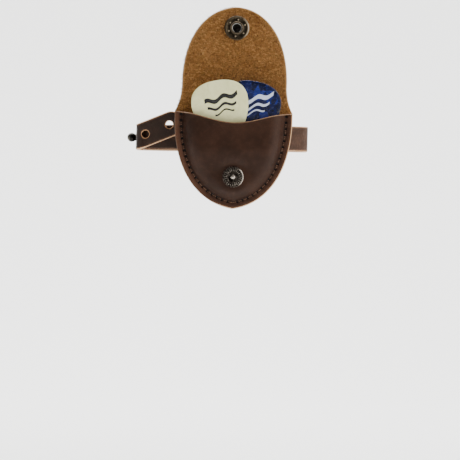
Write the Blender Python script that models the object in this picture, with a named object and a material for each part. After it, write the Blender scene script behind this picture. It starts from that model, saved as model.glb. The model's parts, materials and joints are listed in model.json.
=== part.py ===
"""A leather pick pouch that straps round a guitar headstock, with its flap open and two picks raised.

Metres, +Z up, -Y towards whoever looks at the pouch. The origin is the middle of the space that the
headstock fills, in line with the pouch's middle. The pouch's own pieces are placed from an empty at the
flap's lower crease, where a local y of -0.005 means 5 mm forward of the back panel's suede face.
"""

import math

import bmesh
import bpy
import numpy as np
from mathutils import Matrix, Vector

MM = 0.001

# Leather, and the gap that pieces lying on each other keep
LEATHER = 1.8 * MM
GAP = 0.3 * MM

# The headstock that the strap goes round, and the tuners that the pouch rests on
HEADSTOCK_THICKNESS = 15.0 * MM
TUNER_HEIGHT = 9.0 * MM

# Pouch outline
POCKET_HALF_WIDTH = 26.4 * MM
POCKET_DEPTH = 44.4 * MM
LEFT_STRETCH = 1.035  # the pouch and the flap are cut a little wider on the left
MOUTH_DIP = 4.6 * MM
MOUTH_DROP = 0.4 * MM  # the mouth's corners stay this far below the crease
CREASE_HEIGHT = 11.4 * MM  # above the strap's middle

# Pocket bulge, forward of the back panel
BULGE_MOUTH = 5.5 * MM
BULGE_SNAP = 3.6 * MM
BULGE_FALL = (16.0 * MM, 30.0 * MM)  # depths between which the bulge falls off
SEAM_WIDTH = 3.9 * MM
ROLL_WIDTH = 8.0 * MM  # from the seam to the full bulge
ROLL_POWER = 3.0

# Flap: a fold strip over the pocket, then the panel
FOLD = 8.6 * MM
FLAP_LENGTH = 49.3 * MM
FLAP_WAIST = 23.6 * MM  # half width above the flare
FLAP_WAIST_HEIGHT = 11.0 * MM
FLAP_LEAN = math.radians(10)
CREASE_TURN = math.radians(95)  # what each crease turns as the flap shuts
CREASE_GAP = 0.5 * MM

# Snap fastener
SNAP_DROP = 29.8 * MM
SEAT_RADIUS = 5.6 * MM
SEAT_BLEND = 3.2 * MM
SNAP_HOLE = 2.2 * MM

# Seam thread
STITCH_INSET = 2.9 * MM
THREAD_RADIUS = 0.35 * MM

# Strap
STRAP_WIDTH = 11.4 * MM
STRAP_LEFT = -41.0 * MM  # middle of the inner layer on the left
STRAP_RIGHT = 33.0 * MM
STRAP_LEFT_DROOP = -1.0 * MM  # the left run hangs this much lower
STRAP_BEND = 2.4 * MM
LAYER_SPACE = 1.3 * MM  # between the two layers on the left, for the stud's base
TAIL_TILT = math.radians(23)
TAIL_END = -23.6 * MM

# Strap hardware
STUD_PLACE = -1.0 * MM  # along Y
STUD_BALL = 2.1 * MM
STUD_REACH = 5.05 * MM  # from the base disc to the ball's middle
SLOT_WIDTH = 4.7 * MM
SLOT_LENGTH = 5.3 * MM
SLOT_SHIFT = 0.7 * MM  # the slot's middle lies this far behind the stud
TAIL_HOLE = 1.75 * MM
TAIL_HOLE_FIRST = 4.7 * MM  # from the bend to the first spare hole
TAIL_HOLE_SPACING = 11.8 * MM
RIVET_SPREAD = 5.5 * MM
RIVET_HOLE = 1.7 * MM

# Picks
PICK_WIDTH = 26.0 * MM
PICK_LENGTH = 30.0 * MM
PICK_THICKNESS = 0.75 * MM
PICK_LEAN = math.radians(3.95)
PICK_TILT = math.radians(10)
PICK_HEIGHT = -0.8 * MM
WHITE_PICK_PLACE = (-6.0 * MM, 4.4 * MM)  # sideways, and forward of the back panel
BLUE_PICK_PLACE = (7.1 * MM, 3.3 * MM)

PANEL_FRONT = -(HEADSTOCK_THICKNESS / 2 + TUNER_HEIGHT + LEATHER)
FORWARD = (math.pi / 2, 0, 0)  # turns a local +Z to face the viewer
BACKWARD = (-math.pi / 2, 0, 0)
LEFTWARD = (0, -math.pi / 2, 0)
RIGHTWARD = (0, math.pi / 2, 0)


def clear_scene():
    for obj in list(bpy.data.objects):
        bpy.data.objects.remove(obj)


def material(name, colour, roughness, metallic=0.0):
    made = bpy.data.materials.new(name)
    made.use_nodes = True
    shader = made.node_tree.nodes["Principled BSDF"]
    shader.inputs["Base Color"].default_value = (*colour, 1)
    shader.inputs["Roughness"].default_value = roughness
    shader.inputs["Metallic"].default_value = metallic
    return made


def empty(name, location, parent=None, rotation=(0, 0, 0)):
    made = bpy.data.objects.new(name, None)
    made.location = location
    made.rotation_euler = rotation
    made.parent = parent
    bpy.context.collection.objects.link(made)
    return made


def place(name, data, parent, location=(0, 0, 0), rotation=(0, 0, 0)):
    made = bpy.data.objects.new(name, data)
    made.location = location
    made.rotation_euler = rotation
    made.parent = parent
    bpy.context.collection.objects.link(made)
    return made


def mesh_from(name, body, finish=None):
    """A mesh from a bmesh, with its faces pointing out. A cutter has no finish."""
    bmesh.ops.recalc_face_normals(body, faces=body.faces)
    data = bpy.data.meshes.new(name)
    body.to_mesh(data)
    body.free()
    if finish:
        data.materials.append(finish)
    return data


def prism(name, outline, front, back, finish):
    """A flat piece from an (x, z) outline, between two distances forward of the local origin."""
    body = bmesh.new()
    rim = [body.verts.new((x, -front, z)) for x, z in outline]
    face = body.faces.new(rim)
    extruded = bmesh.ops.extrude_face_region(body, geom=[face])["geom"]
    moved = [part for part in extruded if isinstance(part, bmesh.types.BMVert)]
    bmesh.ops.translate(body, verts=moved, vec=(0, front - back, 0))
    return mesh_from(name, body, finish)


def turned(name, profile, finish, parent, location, rotation, ring=False, steps=24):
    """A turned piece from (radius, height) points that run down its outer side, spun round local Z."""
    edges = [(i, i + 1) for i in range(len(profile) - 1)]
    if ring:
        edges.append((len(profile) - 1, 0))
    data = bpy.data.meshes.new(name)
    data.from_pydata([(radius, 0, height) for radius, height in profile], edges, [])
    data.materials.append(finish)
    made = place(name, data, parent, location, rotation)
    spin = made.modifiers.new("spin", "SCREW")
    spin.steps = steps
    spin.render_steps = steps
    spin.use_merge_vertices = True
    spin.merge_threshold = 0.00001
    spin.use_smooth_shade = True
    return made


def arc(centre, radius, start, end, steps):
    """(radius, height) points on a round stretch of a turned profile, angles in degrees."""
    angles = np.radians(np.linspace(start, end, steps))
    return [(centre[0] + radius * math.cos(a), centre[1] + radius * math.sin(a)) for a in angles]


def cut(target, cutter_data, location, rotation):
    """Cuts a hole with a hidden cutter that stays in the target's own parent frame."""
    cutter = place(cutter_data.name, cutter_data, target.parent, location, rotation)
    cutter.hide_render = True
    cutter.display_type = "WIRE"
    boolean = target.modifiers.new(cutter.name, "BOOLEAN")
    boolean.operation = "DIFFERENCE"
    boolean.solver = "EXACT"
    boolean.object = cutter


def drill(name, radius, depth=4 * LEATHER, stretch=0.0, sides=20):
    """A cutter along local Z; stretch pulls its two halves apart along local X into a slot."""
    body = bmesh.new()
    bmesh.ops.create_cone(
        body, cap_ends=True, segments=sides, radius1=radius, radius2=radius, depth=depth
    )
    for vert in body.verts:
        if stretch:
            vert.co.x += math.copysign(stretch / 2, vert.co.x)
    return mesh_from(name, body)


def bezier(ends, t):
    """Points at t on a cubic curve through four (x, z) control points."""
    t = np.asarray(t)[:, None]
    first, second, third, last = (np.array(end) for end in ends)
    return (
        (1 - t) ** 3 * first + 3 * (1 - t) ** 2 * t * second + 3 * (1 - t) * t**2 * third + t**3 * last
    )


def pocket_side(t):
    """The pouch's right edge, from the crease (t = 0) to the bottom tip (t = 1)."""
    wide, deep = POCKET_HALF_WIDTH, POCKET_DEPTH
    return bezier([(wide, 0), (1.03 * wide, -0.60 * deep), (0.60 * wide, -0.945 * deep), (0, -deep)], t)


def flap_side(steps=24):
    """The flap's right edge, from the crease up to its tip."""
    flare = [
        (POCKET_HALF_WIDTH, 0),
        (24.8 * MM, 0.27 * FLAP_WAIST_HEIGHT),
        (23.8 * MM, 0.6 * FLAP_WAIST_HEIGHT),
        (FLAP_WAIST, FLAP_WAIST_HEIGHT),
    ]
    dome = [
        (FLAP_WAIST, FLAP_WAIST_HEIGHT),
        (24.3 * MM, 0.71 * FLAP_LENGTH),
        (13.7 * MM, 0.985 * FLAP_LENGTH),
        (0, FLAP_LENGTH),
    ]
    t = np.linspace(0, 1, steps)
    return np.vstack([bezier(flare, t[::3]), bezier(dome, t[1:])])


def both_sides(half):
    """A closed outline from its right half, which ends on the middle line."""
    right = [tuple(point) for point in half]
    left = [(-LEFT_STRETCH * x, z) for x, z in reversed(right) if x > 0]
    return right + left


def flap_outline(low, high):
    """The flap's outline between two heights above the lower crease."""
    side = flap_side()
    inside = [tuple(point) for point in side if low < point[1] < high]
    start = (float(np.interp(low, side[:, 1], side[:, 0])), low)
    if high < FLAP_LENGTH:
        inside.append((float(np.interp(high, side[:, 1], side[:, 0])), high))
    else:
        inside.append((0.0, FLAP_LENGTH))
    return both_sides([start] + inside)


def smooth(value):
    value = min(max(value, 0.0), 1.0)
    return value * value * (3 - 2 * value)


EDGE = pocket_side(np.linspace(0, 1, 160))


def bulge(x, z):
    """How far the pocket's inner face stands off the flat seam at (x, z)."""
    like_right = x if x > 0 else -x / LEFT_STRETCH
    from_edge = float(np.hypot(EDGE[:, 0] - like_right, EDGE[:, 1] - z).min())
    fall = smooth((-z - BULGE_FALL[0]) / (BULGE_FALL[1] - BULGE_FALL[0]))
    full = BULGE_MOUTH + (BULGE_SNAP - BULGE_MOUTH) * fall
    roll = min(max((from_edge - SEAM_WIDTH) / ROLL_WIDTH, 0.0), 1.0)
    pillow = full * (1 - (1 - roll) ** ROLL_POWER)
    from_snap = math.hypot(x, z + SNAP_DROP)
    seat = 1 - smooth((from_snap - SEAT_RADIUS) / SEAT_BLEND)
    return pillow * (1 - seat) + BULGE_SNAP * seat


def pocket_mesh(finish):
    """The front of the pocket: an inner and an outer skin joined along the mouth and the outline."""
    columns = np.sin(np.linspace(-math.pi / 2, math.pi / 2, 25))
    rows = np.linspace(0, 1, 19)
    side = pocket_side(rows)
    body = bmesh.new()
    skins = []
    for offset in (GAP, GAP + LEATHER):
        skin = []
        for row, (half_width, height) in zip(rows, side):
            line = []
            for column in columns:
                dip = MOUTH_DIP * math.cos(column * math.pi / 2) ** 2 + MOUTH_DROP
                x = half_width * column * (1 if column > 0 else LEFT_STRETCH)
                z = height - dip * (1 - row) ** 2
                line.append(body.verts.new((x, -offset - bulge(x, z), z)))
            skin.append(line)
        skins.append(skin)
    for skin in skins:
        for upper, lower in zip(skin, skin[1:]):
            for i in range(len(columns) - 1):
                body.faces.new((upper[i], upper[i + 1], lower[i + 1], lower[i]))
    inner, outer = skins
    for i in range(len(columns) - 1):
        body.faces.new((inner[0][i], inner[0][i + 1], outer[0][i + 1], outer[0][i]))
    for edge in (0, -1):
        for j in range(len(rows) - 1):
            body.faces.new((inner[j][edge], inner[j + 1][edge], outer[j + 1][edge], outer[j][edge]))
    bmesh.ops.remove_doubles(body, verts=body.verts, dist=0.000001)
    return mesh_from("front_pocket", body, finish)


def make_pocket(pouch, leather, suede):
    """The back panel and the front of the pocket."""
    rim = both_sides(pocket_side(np.linspace(0, 1, 17)))
    panel = place("back_panel", prism("back_panel", rim, 0, -LEATHER, suede), pouch)
    pocket = place("front_pocket", pocket_mesh(leather), pouch)
    cut(pocket, drill("snap_post_hole", SNAP_HOLE), (0, -BULGE_SNAP, -SNAP_DROP), FORWARD)
    for side, name in ((-1, "left"), (1, "right")):
        where = (side * RIVET_SPREAD, 0, -CREASE_HEIGHT)
        cut(panel, drill(f"panel_rivet_hole_{name}", RIVET_HOLE), where, FORWARD)


def make_flap(lower, upper, suede, brass, steel):
    """The fold strip on the lower crease, and the panel with its half of the snap on the upper one."""
    strip = flap_outline(CREASE_GAP, FOLD - CREASE_GAP / 2)
    place("flap_fold", prism("flap_fold", strip, 0, -LEATHER, suede), lower)

    outline = [(x, z - FOLD) for x, z in flap_outline(FOLD + CREASE_GAP / 2, FLAP_LENGTH)]
    panel = place("flap_panel", prism("flap_panel", outline, 0, -LEATHER, suede), upper)
    # Shut, the fold strip lies across the pocket's thickness and the panel hangs straight down.
    fold_rise = FOLD * math.cos(CREASE_TURN - FLAP_LEAN)
    snap = SNAP_DROP + fold_rise
    cut(panel, drill("snap_cap_hole", SNAP_HOLE), (0, 0, snap), FORWARD)

    cap = [
        *arc((0, -9.6 * MM), 12.0 * MM, 90, 62, 6),
        *arc((5.7 * MM, 0.5 * MM), 0.5 * MM, 45, -90, 4),
        (1.8 * MM, 0),
        (1.8 * MM, -1.9 * MM),
        (0, -1.9 * MM),
    ]
    cap[0] = (0, cap[0][1])
    turned("snap_cap", cap, brass, upper, (0, LEATHER + GAP, snap), BACKWARD)
    socket = [
        (2.1 * MM, 1.2 * MM),
        *arc((2.7 * MM, 1.2 * MM), 0.3 * MM, 120, 0, 3),
        (3.4 * MM, 1.0 * MM),
        (4.6 * MM, 1.0 * MM),
        *arc((5.2 * MM, 0.95 * MM), 0.5 * MM, 110, 0, 5),
        (5.7 * MM, 0),
        (3.4 * MM, 0),
        (3.4 * MM, 0.7 * MM),
        (2.1 * MM, 0.7 * MM),
    ]
    turned("snap_socket", socket, brass, upper, (0, -GAP, snap), FORWARD, ring=True)
    spring_ring("snap_spring", 2.6 * MM, 0.22 * MM, steel, upper, (0, -GAP - 0.3 * MM, snap))


def spring_ring(name, radius, wire, finish, parent, location):
    """A split ring of round wire, open at the bottom."""
    data = bpy.data.curves.new(name, "CURVE")
    data.dimensions = "3D"
    data.bevel_depth = wire
    data.bevel_resolution = 1
    data.use_fill_caps = True
    spline = data.splines.new("POLY")
    angles = np.radians(np.linspace(-60, 240, 21))
    spline.points.add(len(angles) - 1)
    for point, angle in zip(spline.points, angles):
        point.co = (radius * math.cos(angle), 0, radius * math.sin(angle), 1)
    data.materials.append(finish)
    place(name, data, parent, location)


def make_snap_on_pocket(pouch, brass):
    """The stud in front of the pocket, and the post that holds it from inside."""
    seat = GAP + BULGE_SNAP + LEATHER
    stud = [
        *arc((0, 0.9 * MM), 1.6 * MM, 90, -10, 7),
        (1.3 * MM, 0.35 * MM),
        (3.0 * MM, 0.35 * MM),
        (3.2 * MM, 0.5 * MM),
        (4.3 * MM, 0.6 * MM),
        *arc((4.45 * MM, 0.3 * MM), 0.3 * MM, 80, -60, 4),
        (1.1 * MM, 0),
        (1.1 * MM, 0.9 * MM),
        (0, 0.9 * MM),
    ]
    stud[0] = (0, stud[0][1])
    turned("snap_stud", stud, brass, pouch, (0, -seat - GAP, -SNAP_DROP), FORWARD)
    post = [
        (0, 2.9 * MM),
        (0.8 * MM, 2.9 * MM),
        (0.8 * MM, 2.2 * MM),
        (1.8 * MM, 2.2 * MM),
        (1.8 * MM, 0.35 * MM),
        (4.2 * MM, 0.35 * MM),
        (4.3 * MM, 0.2 * MM),
        (4.1 * MM, 0),
        (0, 0),
    ]
    flange_back = BULGE_SNAP - 0.35 * MM
    turned("snap_post", post, brass, pouch, (0, -flange_back, -SNAP_DROP), FORWARD)


def stitch_line(points=19):
    """(x, z) points along the seam, from the top left corner round the tip to the top right corner."""
    t = np.linspace(0.03, 1, points)
    side = pocket_side(t)
    along = np.gradient(side, axis=0)
    along /= np.linalg.norm(along, axis=1)[:, None]
    inward = np.column_stack([along[:, 1], -along[:, 0]])
    inner = side + STITCH_INSET * inward
    inner[-1, 0] = 0
    right = [tuple(point) for point in inner]
    left = [(-LEFT_STRETCH * x, z) for x, z in right[:-1]]
    return left + right[::-1]


def make_seam_thread(name, forward, pouch, finish):
    data = bpy.data.curves.new(name, "CURVE")
    data.dimensions = "3D"
    data.bevel_depth = THREAD_RADIUS
    data.bevel_resolution = 1
    data.use_fill_caps = True
    path = stitch_line()
    spline = data.splines.new("POLY")
    spline.points.add(len(path) - 1)
    for point, (x, z) in zip(spline.points, path):
        point.co = (x, -forward, z, 1)
    data.materials.append(finish)
    place(name, data, pouch)


def rounded_path(corners, steps=5):
    """Plan points (x, y) along straight runs whose corners, given as (x, y, radius), are rounded."""
    points = [Vector(corners[0][:2])]
    for before, corner, after in zip(corners, corners[1:], corners[2:]):
        here = Vector(corner[:2])
        into = (here - Vector(before[:2])).normalized()
        out = (Vector(after[:2]) - here).normalized()
        turn = into.angle(out)
        reach = corner[2] * math.tan(turn / 2)
        start = here - into * reach
        side = math.copysign(1, into.cross(out))
        centre = start + Vector((-into.y, into.x)) * side * corner[2]
        for i in range(steps + 1):
            spoke = Matrix.Rotation(side * turn * i / steps, 2) @ (start - centre)
            points.append(centre + spoke)
    points.append(Vector(corners[-1][:2]))
    return points


def band(name, centres, ups, halves, finish):
    """A strip of leather through 3-D centres; ups are its width directions and halves its half widths."""
    body = bmesh.new()
    loops = []
    for i, centre in enumerate(centres):
        along = centres[min(i + 1, len(centres) - 1)] - centres[max(i - 1, 0)]
        out = along.cross(ups[i]).normalized()
        up = ups[i] * halves[i]
        corners = [(1, 1), (-1, 1), (-1, -1), (1, -1)]
        spots = [centre + out * (s * LEATHER / 2) + up * u for s, u in corners]
        loops.append([body.verts.new(spot) for spot in spots])
    for first, second in zip(loops, loops[1:]):
        for i in range(4):
            j = (i + 1) % 4
            body.faces.new((first[i], first[j], second[j], second[i]))
    body.faces.new(loops[0])
    body.faces.new(loops[-1][::-1])
    return mesh_from(name, body, finish)


def make_strap_band(leather):
    """The strap from its buttoned left end, behind the pouch, round the right side and across the front."""
    back = -(HEADSTOCK_THICKNESS / 2 + 1.5 * MM)
    front = HEADSTOCK_THICKNESS / 2 + GAP + LEATHER / 2
    behind_pouch = PANEL_FRONT + LEATHER + GAP + LEATHER / 2
    plan = rounded_path(
        [
            (STRAP_LEFT, 4.5 * MM, 0),
            (STRAP_LEFT, back, STRAP_BEND),
            (-22.0 * MM, back - 1.4 * MM, 6.0 * MM),
            (-10.0 * MM, behind_pouch, 6.0 * MM),
            (10.0 * MM, behind_pouch, 6.0 * MM),
            (STRAP_RIGHT, back, STRAP_BEND),
            (STRAP_RIGHT, front, STRAP_BEND),
            (strap_hinge()[0] + GAP, front, 0),
        ]
    )
    reach = STRAP_LEFT - -10.0 * MM
    centres = []
    for i, (x, y) in enumerate(plan):
        on_the_left = i < len(plan) / 2
        droop = STRAP_LEFT_DROOP * smooth((x + 10.0 * MM) / reach) if on_the_left else 0
        centres.append(Vector((x, y, droop)))
    # The front run meets the buttoned end at that end's own height.
    centres[-1].z = STRAP_LEFT_DROOP
    ups = [Vector((0, 0, 1))] * len(centres)
    halves = [STRAP_WIDTH / 2] * len(centres)
    strap = place("strap_band", band("strap_band", centres, ups, halves, leather), None)
    for side, name in ((-1, "left"), (1, "right")):
        where = (side * RIVET_SPREAD, behind_pouch, 0)
        cut(strap, drill(f"strap_rivet_hole_{name}", RIVET_HOLE), where, FORWARD)
    stud = (STRAP_LEFT, STUD_PLACE, STRAP_LEFT_DROOP)
    cut(strap, drill("stud_screw_hole", 1.2 * MM), stud, LEFTWARD)


def strap_hinge():
    """Where the buttoned end bends open: the inner edge of the strap's front left corner, (x, y)."""
    inner_face = STRAP_LEFT - LEATHER / 2 - LAYER_SPACE
    return inner_face, HEADSTOCK_THICKNESS / 2 + GAP


def make_strap_end(leather):
    """The buttoned left side and the tail, drawn from the hinge at the front left corner."""
    hinge_x, hinge_y = strap_hinge()
    side_x = hinge_x - LEATHER / 2
    # The tail lies on the band's left run.
    tail_back = -(HEADSTOCK_THICKNESS / 2 + 1.5 * MM) - LEATHER - GAP
    plan = rounded_path(
        [
            (side_x, hinge_y - GAP, 0),
            (side_x, tail_back, STRAP_BEND),
            (-30.0 * MM, tail_back - 0.9 * MM, 40.0 * MM),
            (TAIL_END, tail_back - 1.6 * MM, 0),
        ],
        steps=8,
    )
    plan = extra_points(plan)
    bend_start, bend_end = tail_back + STRAP_BEND, side_x + STRAP_BEND
    origin = Vector((hinge_x, hinge_y, STRAP_LEFT_DROOP))
    centres = []
    ups = []
    halves = []
    height = STRAP_LEFT_DROOP
    for i, point in enumerate(plan):
        step = (point - plan[max(i - 1, 0)]).length
        through_bend = (bend_start - point.y + point.x - side_x) / (2 * STRAP_BEND)
        turned_share = smooth(through_bend)
        tilt = TAIL_TILT * turned_share
        height += step * math.tan(tilt)
        direction = (plan[min(i + 1, len(plan) - 1)] - plan[max(i - 1, 0)]).normalized()
        along = Vector((direction.x * math.cos(tilt), direction.y * math.cos(tilt), math.sin(tilt)))
        outward = Vector((direction.y, -direction.x, 0))
        centres.append(Vector((point.x, point.y, height)) - origin)
        up = outward.cross(along).normalized()
        ups.append(-up if up.z < 0 else up)
        # The tail ends in a half round.
        to_end = (TAIL_END - point.x) / (STRAP_WIDTH / 2) / math.cos(TAIL_TILT)
        rounding = math.sqrt(max(1 - (1 - min(to_end, 1)) ** 2, 0.02))
        halves.append(STRAP_WIDTH / 2 * (rounding if bend_end < point.x else 1))
    end = place("strap_end", band("strap_end", centres, ups, halves, leather), None, origin)
    return end, centres, origin


def extra_points(plan):
    """Adds points near the tail's end, where the half round needs them."""
    last, before = plan[-1], plan[-2]
    length = (last - before).length
    shares = [1 - 0.5 * STRAP_WIDTH * (1 - math.cos(a)) / length for a in np.radians([80, 60, 42, 25])]
    return plan[:-1] + [before.lerp(last, share) for share in shares if share > 0] + [last]


def punch_strap_end(end, centres, origin):
    """The buttonhole on the side, and the two spare holes along the tail."""
    middle = Vector((-LEATHER / 2, STUD_PLACE - SLOT_SHIFT, STRAP_LEFT_DROOP)) - Vector((0, origin.y, origin.z))
    slot = drill("buttonhole", SLOT_WIDTH / 2, stretch=SLOT_LENGTH - SLOT_WIDTH)
    through_the_side = Matrix.Rotation(math.pi / 2, 3, "Z") @ Matrix.Rotation(math.pi / 2, 3, "X")
    cut(end, slot, origin + middle, through_the_side.to_euler())
    bend_middle = origin.x - LEATHER / 2 + 0.7 * STRAP_BEND
    tail = [centre for centre in centres if centre.x + origin.x > bend_middle]
    for number, distance in enumerate((TAIL_HOLE_FIRST, TAIL_HOLE_FIRST + TAIL_HOLE_SPACING)):
        x = origin.x - LEATHER + distance * math.cos(TAIL_TILT)
        xs = [centre.x + origin.x for centre in tail]
        y = float(np.interp(x, xs, [centre.y for centre in tail])) + origin.y
        z = float(np.interp(x, xs, [centre.z for centre in tail])) + origin.z
        cut(end, drill(f"tail_hole_{number}", TAIL_HOLE), (x, y, z), FORWARD)


def make_button_stud(brass):
    """The ball that the buttonhole goes over, and the screw that holds it from inside the strap."""
    outside = (STRAP_LEFT - LEATHER / 2 - 0.8 * GAP, STUD_PLACE, STRAP_LEFT_DROOP)
    stud = [
        *arc((0, STUD_REACH), STUD_BALL, 90, -45, 9),
        (1.3 * MM, STUD_REACH - 2.2 * MM),
        (1.4 * MM, 1.1 * MM),
        (1.8 * MM, 0.8 * MM),
        (3.3 * MM, 0.7 * MM),
        (3.5 * MM, 0.4 * MM),
        (3.4 * MM, 0),
        (0.9 * MM, 0),
        (0.9 * MM, 2.0 * MM),
        (0, 2.0 * MM),
    ]
    stud[0] = (0, stud[0][1])
    turned("button_stud", stud, brass, None, outside, LEFTWARD)
    screw = [
        (0, 0.9 * MM),
        (1.5 * MM, 0.85 * MM),
        (3.0 * MM, 0.55 * MM),
        (3.4 * MM, 0),
        (0.6 * MM, 0),
        (0.6 * MM, -3.4 * MM),
        (0, -3.4 * MM),
    ]
    inside = (STRAP_LEFT + LEATHER / 2 + GAP, STUD_PLACE, STRAP_LEFT_DROOP)
    turned("button_stud_screw", screw, brass, None, inside, RIGHTWARD)


def make_rivets(pouch, brass):
    """Two rivets through the back panel and the strap: caps in the pocket, posts behind the strap."""
    cap = [
        *arc((0, -5.6 * MM), 6.5 * MM, 90, 60, 5),
        (3.4 * MM, 0),
        (1.7 * MM, 0),
        (1.7 * MM, 0.45 * MM),
        (0, 0.45 * MM),
    ]
    cap[0] = (0, cap[0][1])
    stem = 2 * LEATHER + 2 * GAP
    post = [
        (0, 0.5 * MM),
        (2.8 * MM, 0.5 * MM),
        (3.3 * MM, 0),
        (1.3 * MM, 0),
        (1.3 * MM, -stem),
        (0, -stem),
    ]
    strap_back = 2 * LEATHER + 2 * GAP
    for side, name in ((-1, "left"), (1, "right")):
        x = side * RIVET_SPREAD
        turned(f"rivet_cap_{name}", cap, brass, pouch, (x, -GAP, -CREASE_HEIGHT), FORWARD)
        turned(f"rivet_post_{name}", post, brass, pouch, (x, strap_back, -CREASE_HEIGHT), BACKWARD)


def pick_mesh(name, finish):
    """A rounded triangle, tip down, centred on the local origin."""
    half, top = PICK_WIDTH / 2, PICK_LENGTH / 2
    shoulder = top / 3
    t = np.linspace(0, 1, 9)
    base = bezier([(0, top), (0.65 * half, top), (half, 0.77 * top), (half, shoulder)], t)
    side = bezier([(half, shoulder), (half, -0.13 * top), (0.35 * half, -top), (0, -top)], t)
    right = [tuple(point) for point in np.vstack([base, side[1:]])]
    left = [(-x, z) for x, z in reversed(right[1:-1])]
    return prism(name, right + left, PICK_THICKNESS / 2, -PICK_THICKNESS / 2, finish)


def make_pick(name, place_at, tilt, finish, pouch):
    x, forward = place_at
    location = (x, -forward, PICK_HEIGHT)
    turn = Matrix.Rotation(PICK_LEAN, 3, "X") @ Matrix.Rotation(tilt, 3, "Y")
    place(name, pick_mesh(name, finish), pouch, location, turn.to_euler())


def main():
    clear_scene()
    chocolate = material("chocolate_leather", (0.075, 0.036, 0.022), 0.42)
    suede = material("golden_suede", (0.30, 0.15, 0.055), 0.95)
    brown = material("strap_leather", (0.11, 0.055, 0.03), 0.5)
    thread = material("brown_thread", (0.10, 0.05, 0.03), 0.8)
    brass = material("antique_brass", (0.20, 0.16, 0.11), 0.35, 1.0)
    steel = material("spring_steel", (0.35, 0.35, 0.34), 0.3, 1.0)
    cream = material("cream_plastic", (0.66, 0.66, 0.50), 0.25)
    blue = material("blue_pearl_plastic", (0.015, 0.03, 0.20), 0.2)

    pouch = empty("pouch_frame", (0, PANEL_FRONT, CREASE_HEIGHT))
    lower = empty("lower_crease", (0, 0, 0), pouch, (-FLAP_LEAN, 0, 0))
    upper = empty("upper_crease", (0, 0, FOLD), lower)

    make_pocket(pouch, chocolate, suede)
    make_flap(lower, upper, suede, brass, steel)
    make_snap_on_pocket(pouch, brass)
    seam_front = GAP + LEATHER + GAP + THREAD_RADIUS
    make_seam_thread("seam_thread_front", seam_front, pouch, thread)
    make_seam_thread("seam_thread_back", -(LEATHER + GAP + THREAD_RADIUS), pouch, thread)
    make_strap_band(brown)
    end, centres, origin = make_strap_end(brown)
    punch_strap_end(end, centres, origin)
    make_button_stud(brass)
    make_rivets(pouch, brass)
    make_pick("pick_white", WHITE_PICK_PLACE, -PICK_TILT, cream, pouch)
    make_pick("pick_blue", BLUE_PICK_PLACE, PICK_TILT, blue, pouch)


main()
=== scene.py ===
"""The looks of the leather pick pouch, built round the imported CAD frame.

Metres, +Z up, -Y towards the viewer. Leather sheets are drawn flat, as (across, along) points, and then
placed in space by a function of (across, along, depth), where depth runs from the face to the back.
"""

import json
import math

import bmesh
import bpy
import numpy as np
from mathutils import Matrix, Vector, noise


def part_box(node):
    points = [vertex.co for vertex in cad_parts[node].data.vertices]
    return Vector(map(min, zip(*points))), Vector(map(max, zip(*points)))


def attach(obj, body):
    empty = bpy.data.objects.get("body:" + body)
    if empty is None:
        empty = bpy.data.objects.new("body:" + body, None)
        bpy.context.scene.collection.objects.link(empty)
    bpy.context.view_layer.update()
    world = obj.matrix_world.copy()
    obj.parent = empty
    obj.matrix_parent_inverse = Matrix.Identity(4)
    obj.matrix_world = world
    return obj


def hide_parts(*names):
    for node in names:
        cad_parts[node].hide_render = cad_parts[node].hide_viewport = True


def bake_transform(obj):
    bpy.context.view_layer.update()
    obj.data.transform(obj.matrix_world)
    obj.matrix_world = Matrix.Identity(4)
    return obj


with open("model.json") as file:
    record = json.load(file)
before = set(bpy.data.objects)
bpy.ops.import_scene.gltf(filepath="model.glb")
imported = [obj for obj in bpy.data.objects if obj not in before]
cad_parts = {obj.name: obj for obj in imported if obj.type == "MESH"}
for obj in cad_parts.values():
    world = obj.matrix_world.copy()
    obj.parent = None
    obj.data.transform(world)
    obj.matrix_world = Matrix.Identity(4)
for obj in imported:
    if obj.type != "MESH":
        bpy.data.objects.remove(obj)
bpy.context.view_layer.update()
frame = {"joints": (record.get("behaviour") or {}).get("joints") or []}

MM = 0.001
TINY = 1e-7
FLAT_UV = "flat"  # the sheet's own flat coordinates, in millimetres
SEAM_UV = "seam"  # millimetres along the outline from its tip, and in from the outline
FACE, BACK, CUT = 0, 1, 2  # places of a sheet's three finishes: its face, its back and its cut edges

# What the frame gives
PANEL_LOW, PANEL_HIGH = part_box("back_panel")
LEATHER = PANEL_HIGH.y - PANEL_LOW.y
HALF_WIDTH = PANEL_HIGH.x
LEFT_STRETCH = -PANEL_LOW.x / PANEL_HIGH.x  # the leather is cut a little wider on the left
DEPTH = PANEL_HIGH.z - PANEL_LOW.z
CREASE = Vector((0, PANEL_LOW.y, PANEL_HIGH.z))
JOINTS = {joint["name"]: joint for joint in frame["joints"]}
UPPER_CREASE = Vector(JOINTS["flap_upper_crease"]["pos_m"])
STRAP_HINGE = Vector(JOINTS["strap_opening"]["pos_m"])
FOLD = (UPPER_CREASE - CREASE).length
LEAN = math.atan2(UPPER_CREASE.y - CREASE.y, UPPER_CREASE.z - CREASE.z)
FLAP_UP = Vector((0, math.sin(LEAN), math.cos(LEAN)))
FLAP_BACK = Vector((0, math.cos(LEAN), -math.sin(LEAN)))
STRAP_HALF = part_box("strap_band")[1].z

# Gaps and edges of the leather
GAP = 0.3 * MM
ROW_STEP = 0.5 * MM  # between rows of points
EDGE_RADIUS = 0.4 * MM
RIM_TURNS = (30, 60, 90)  # degrees, the steps round each rounded edge

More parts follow.
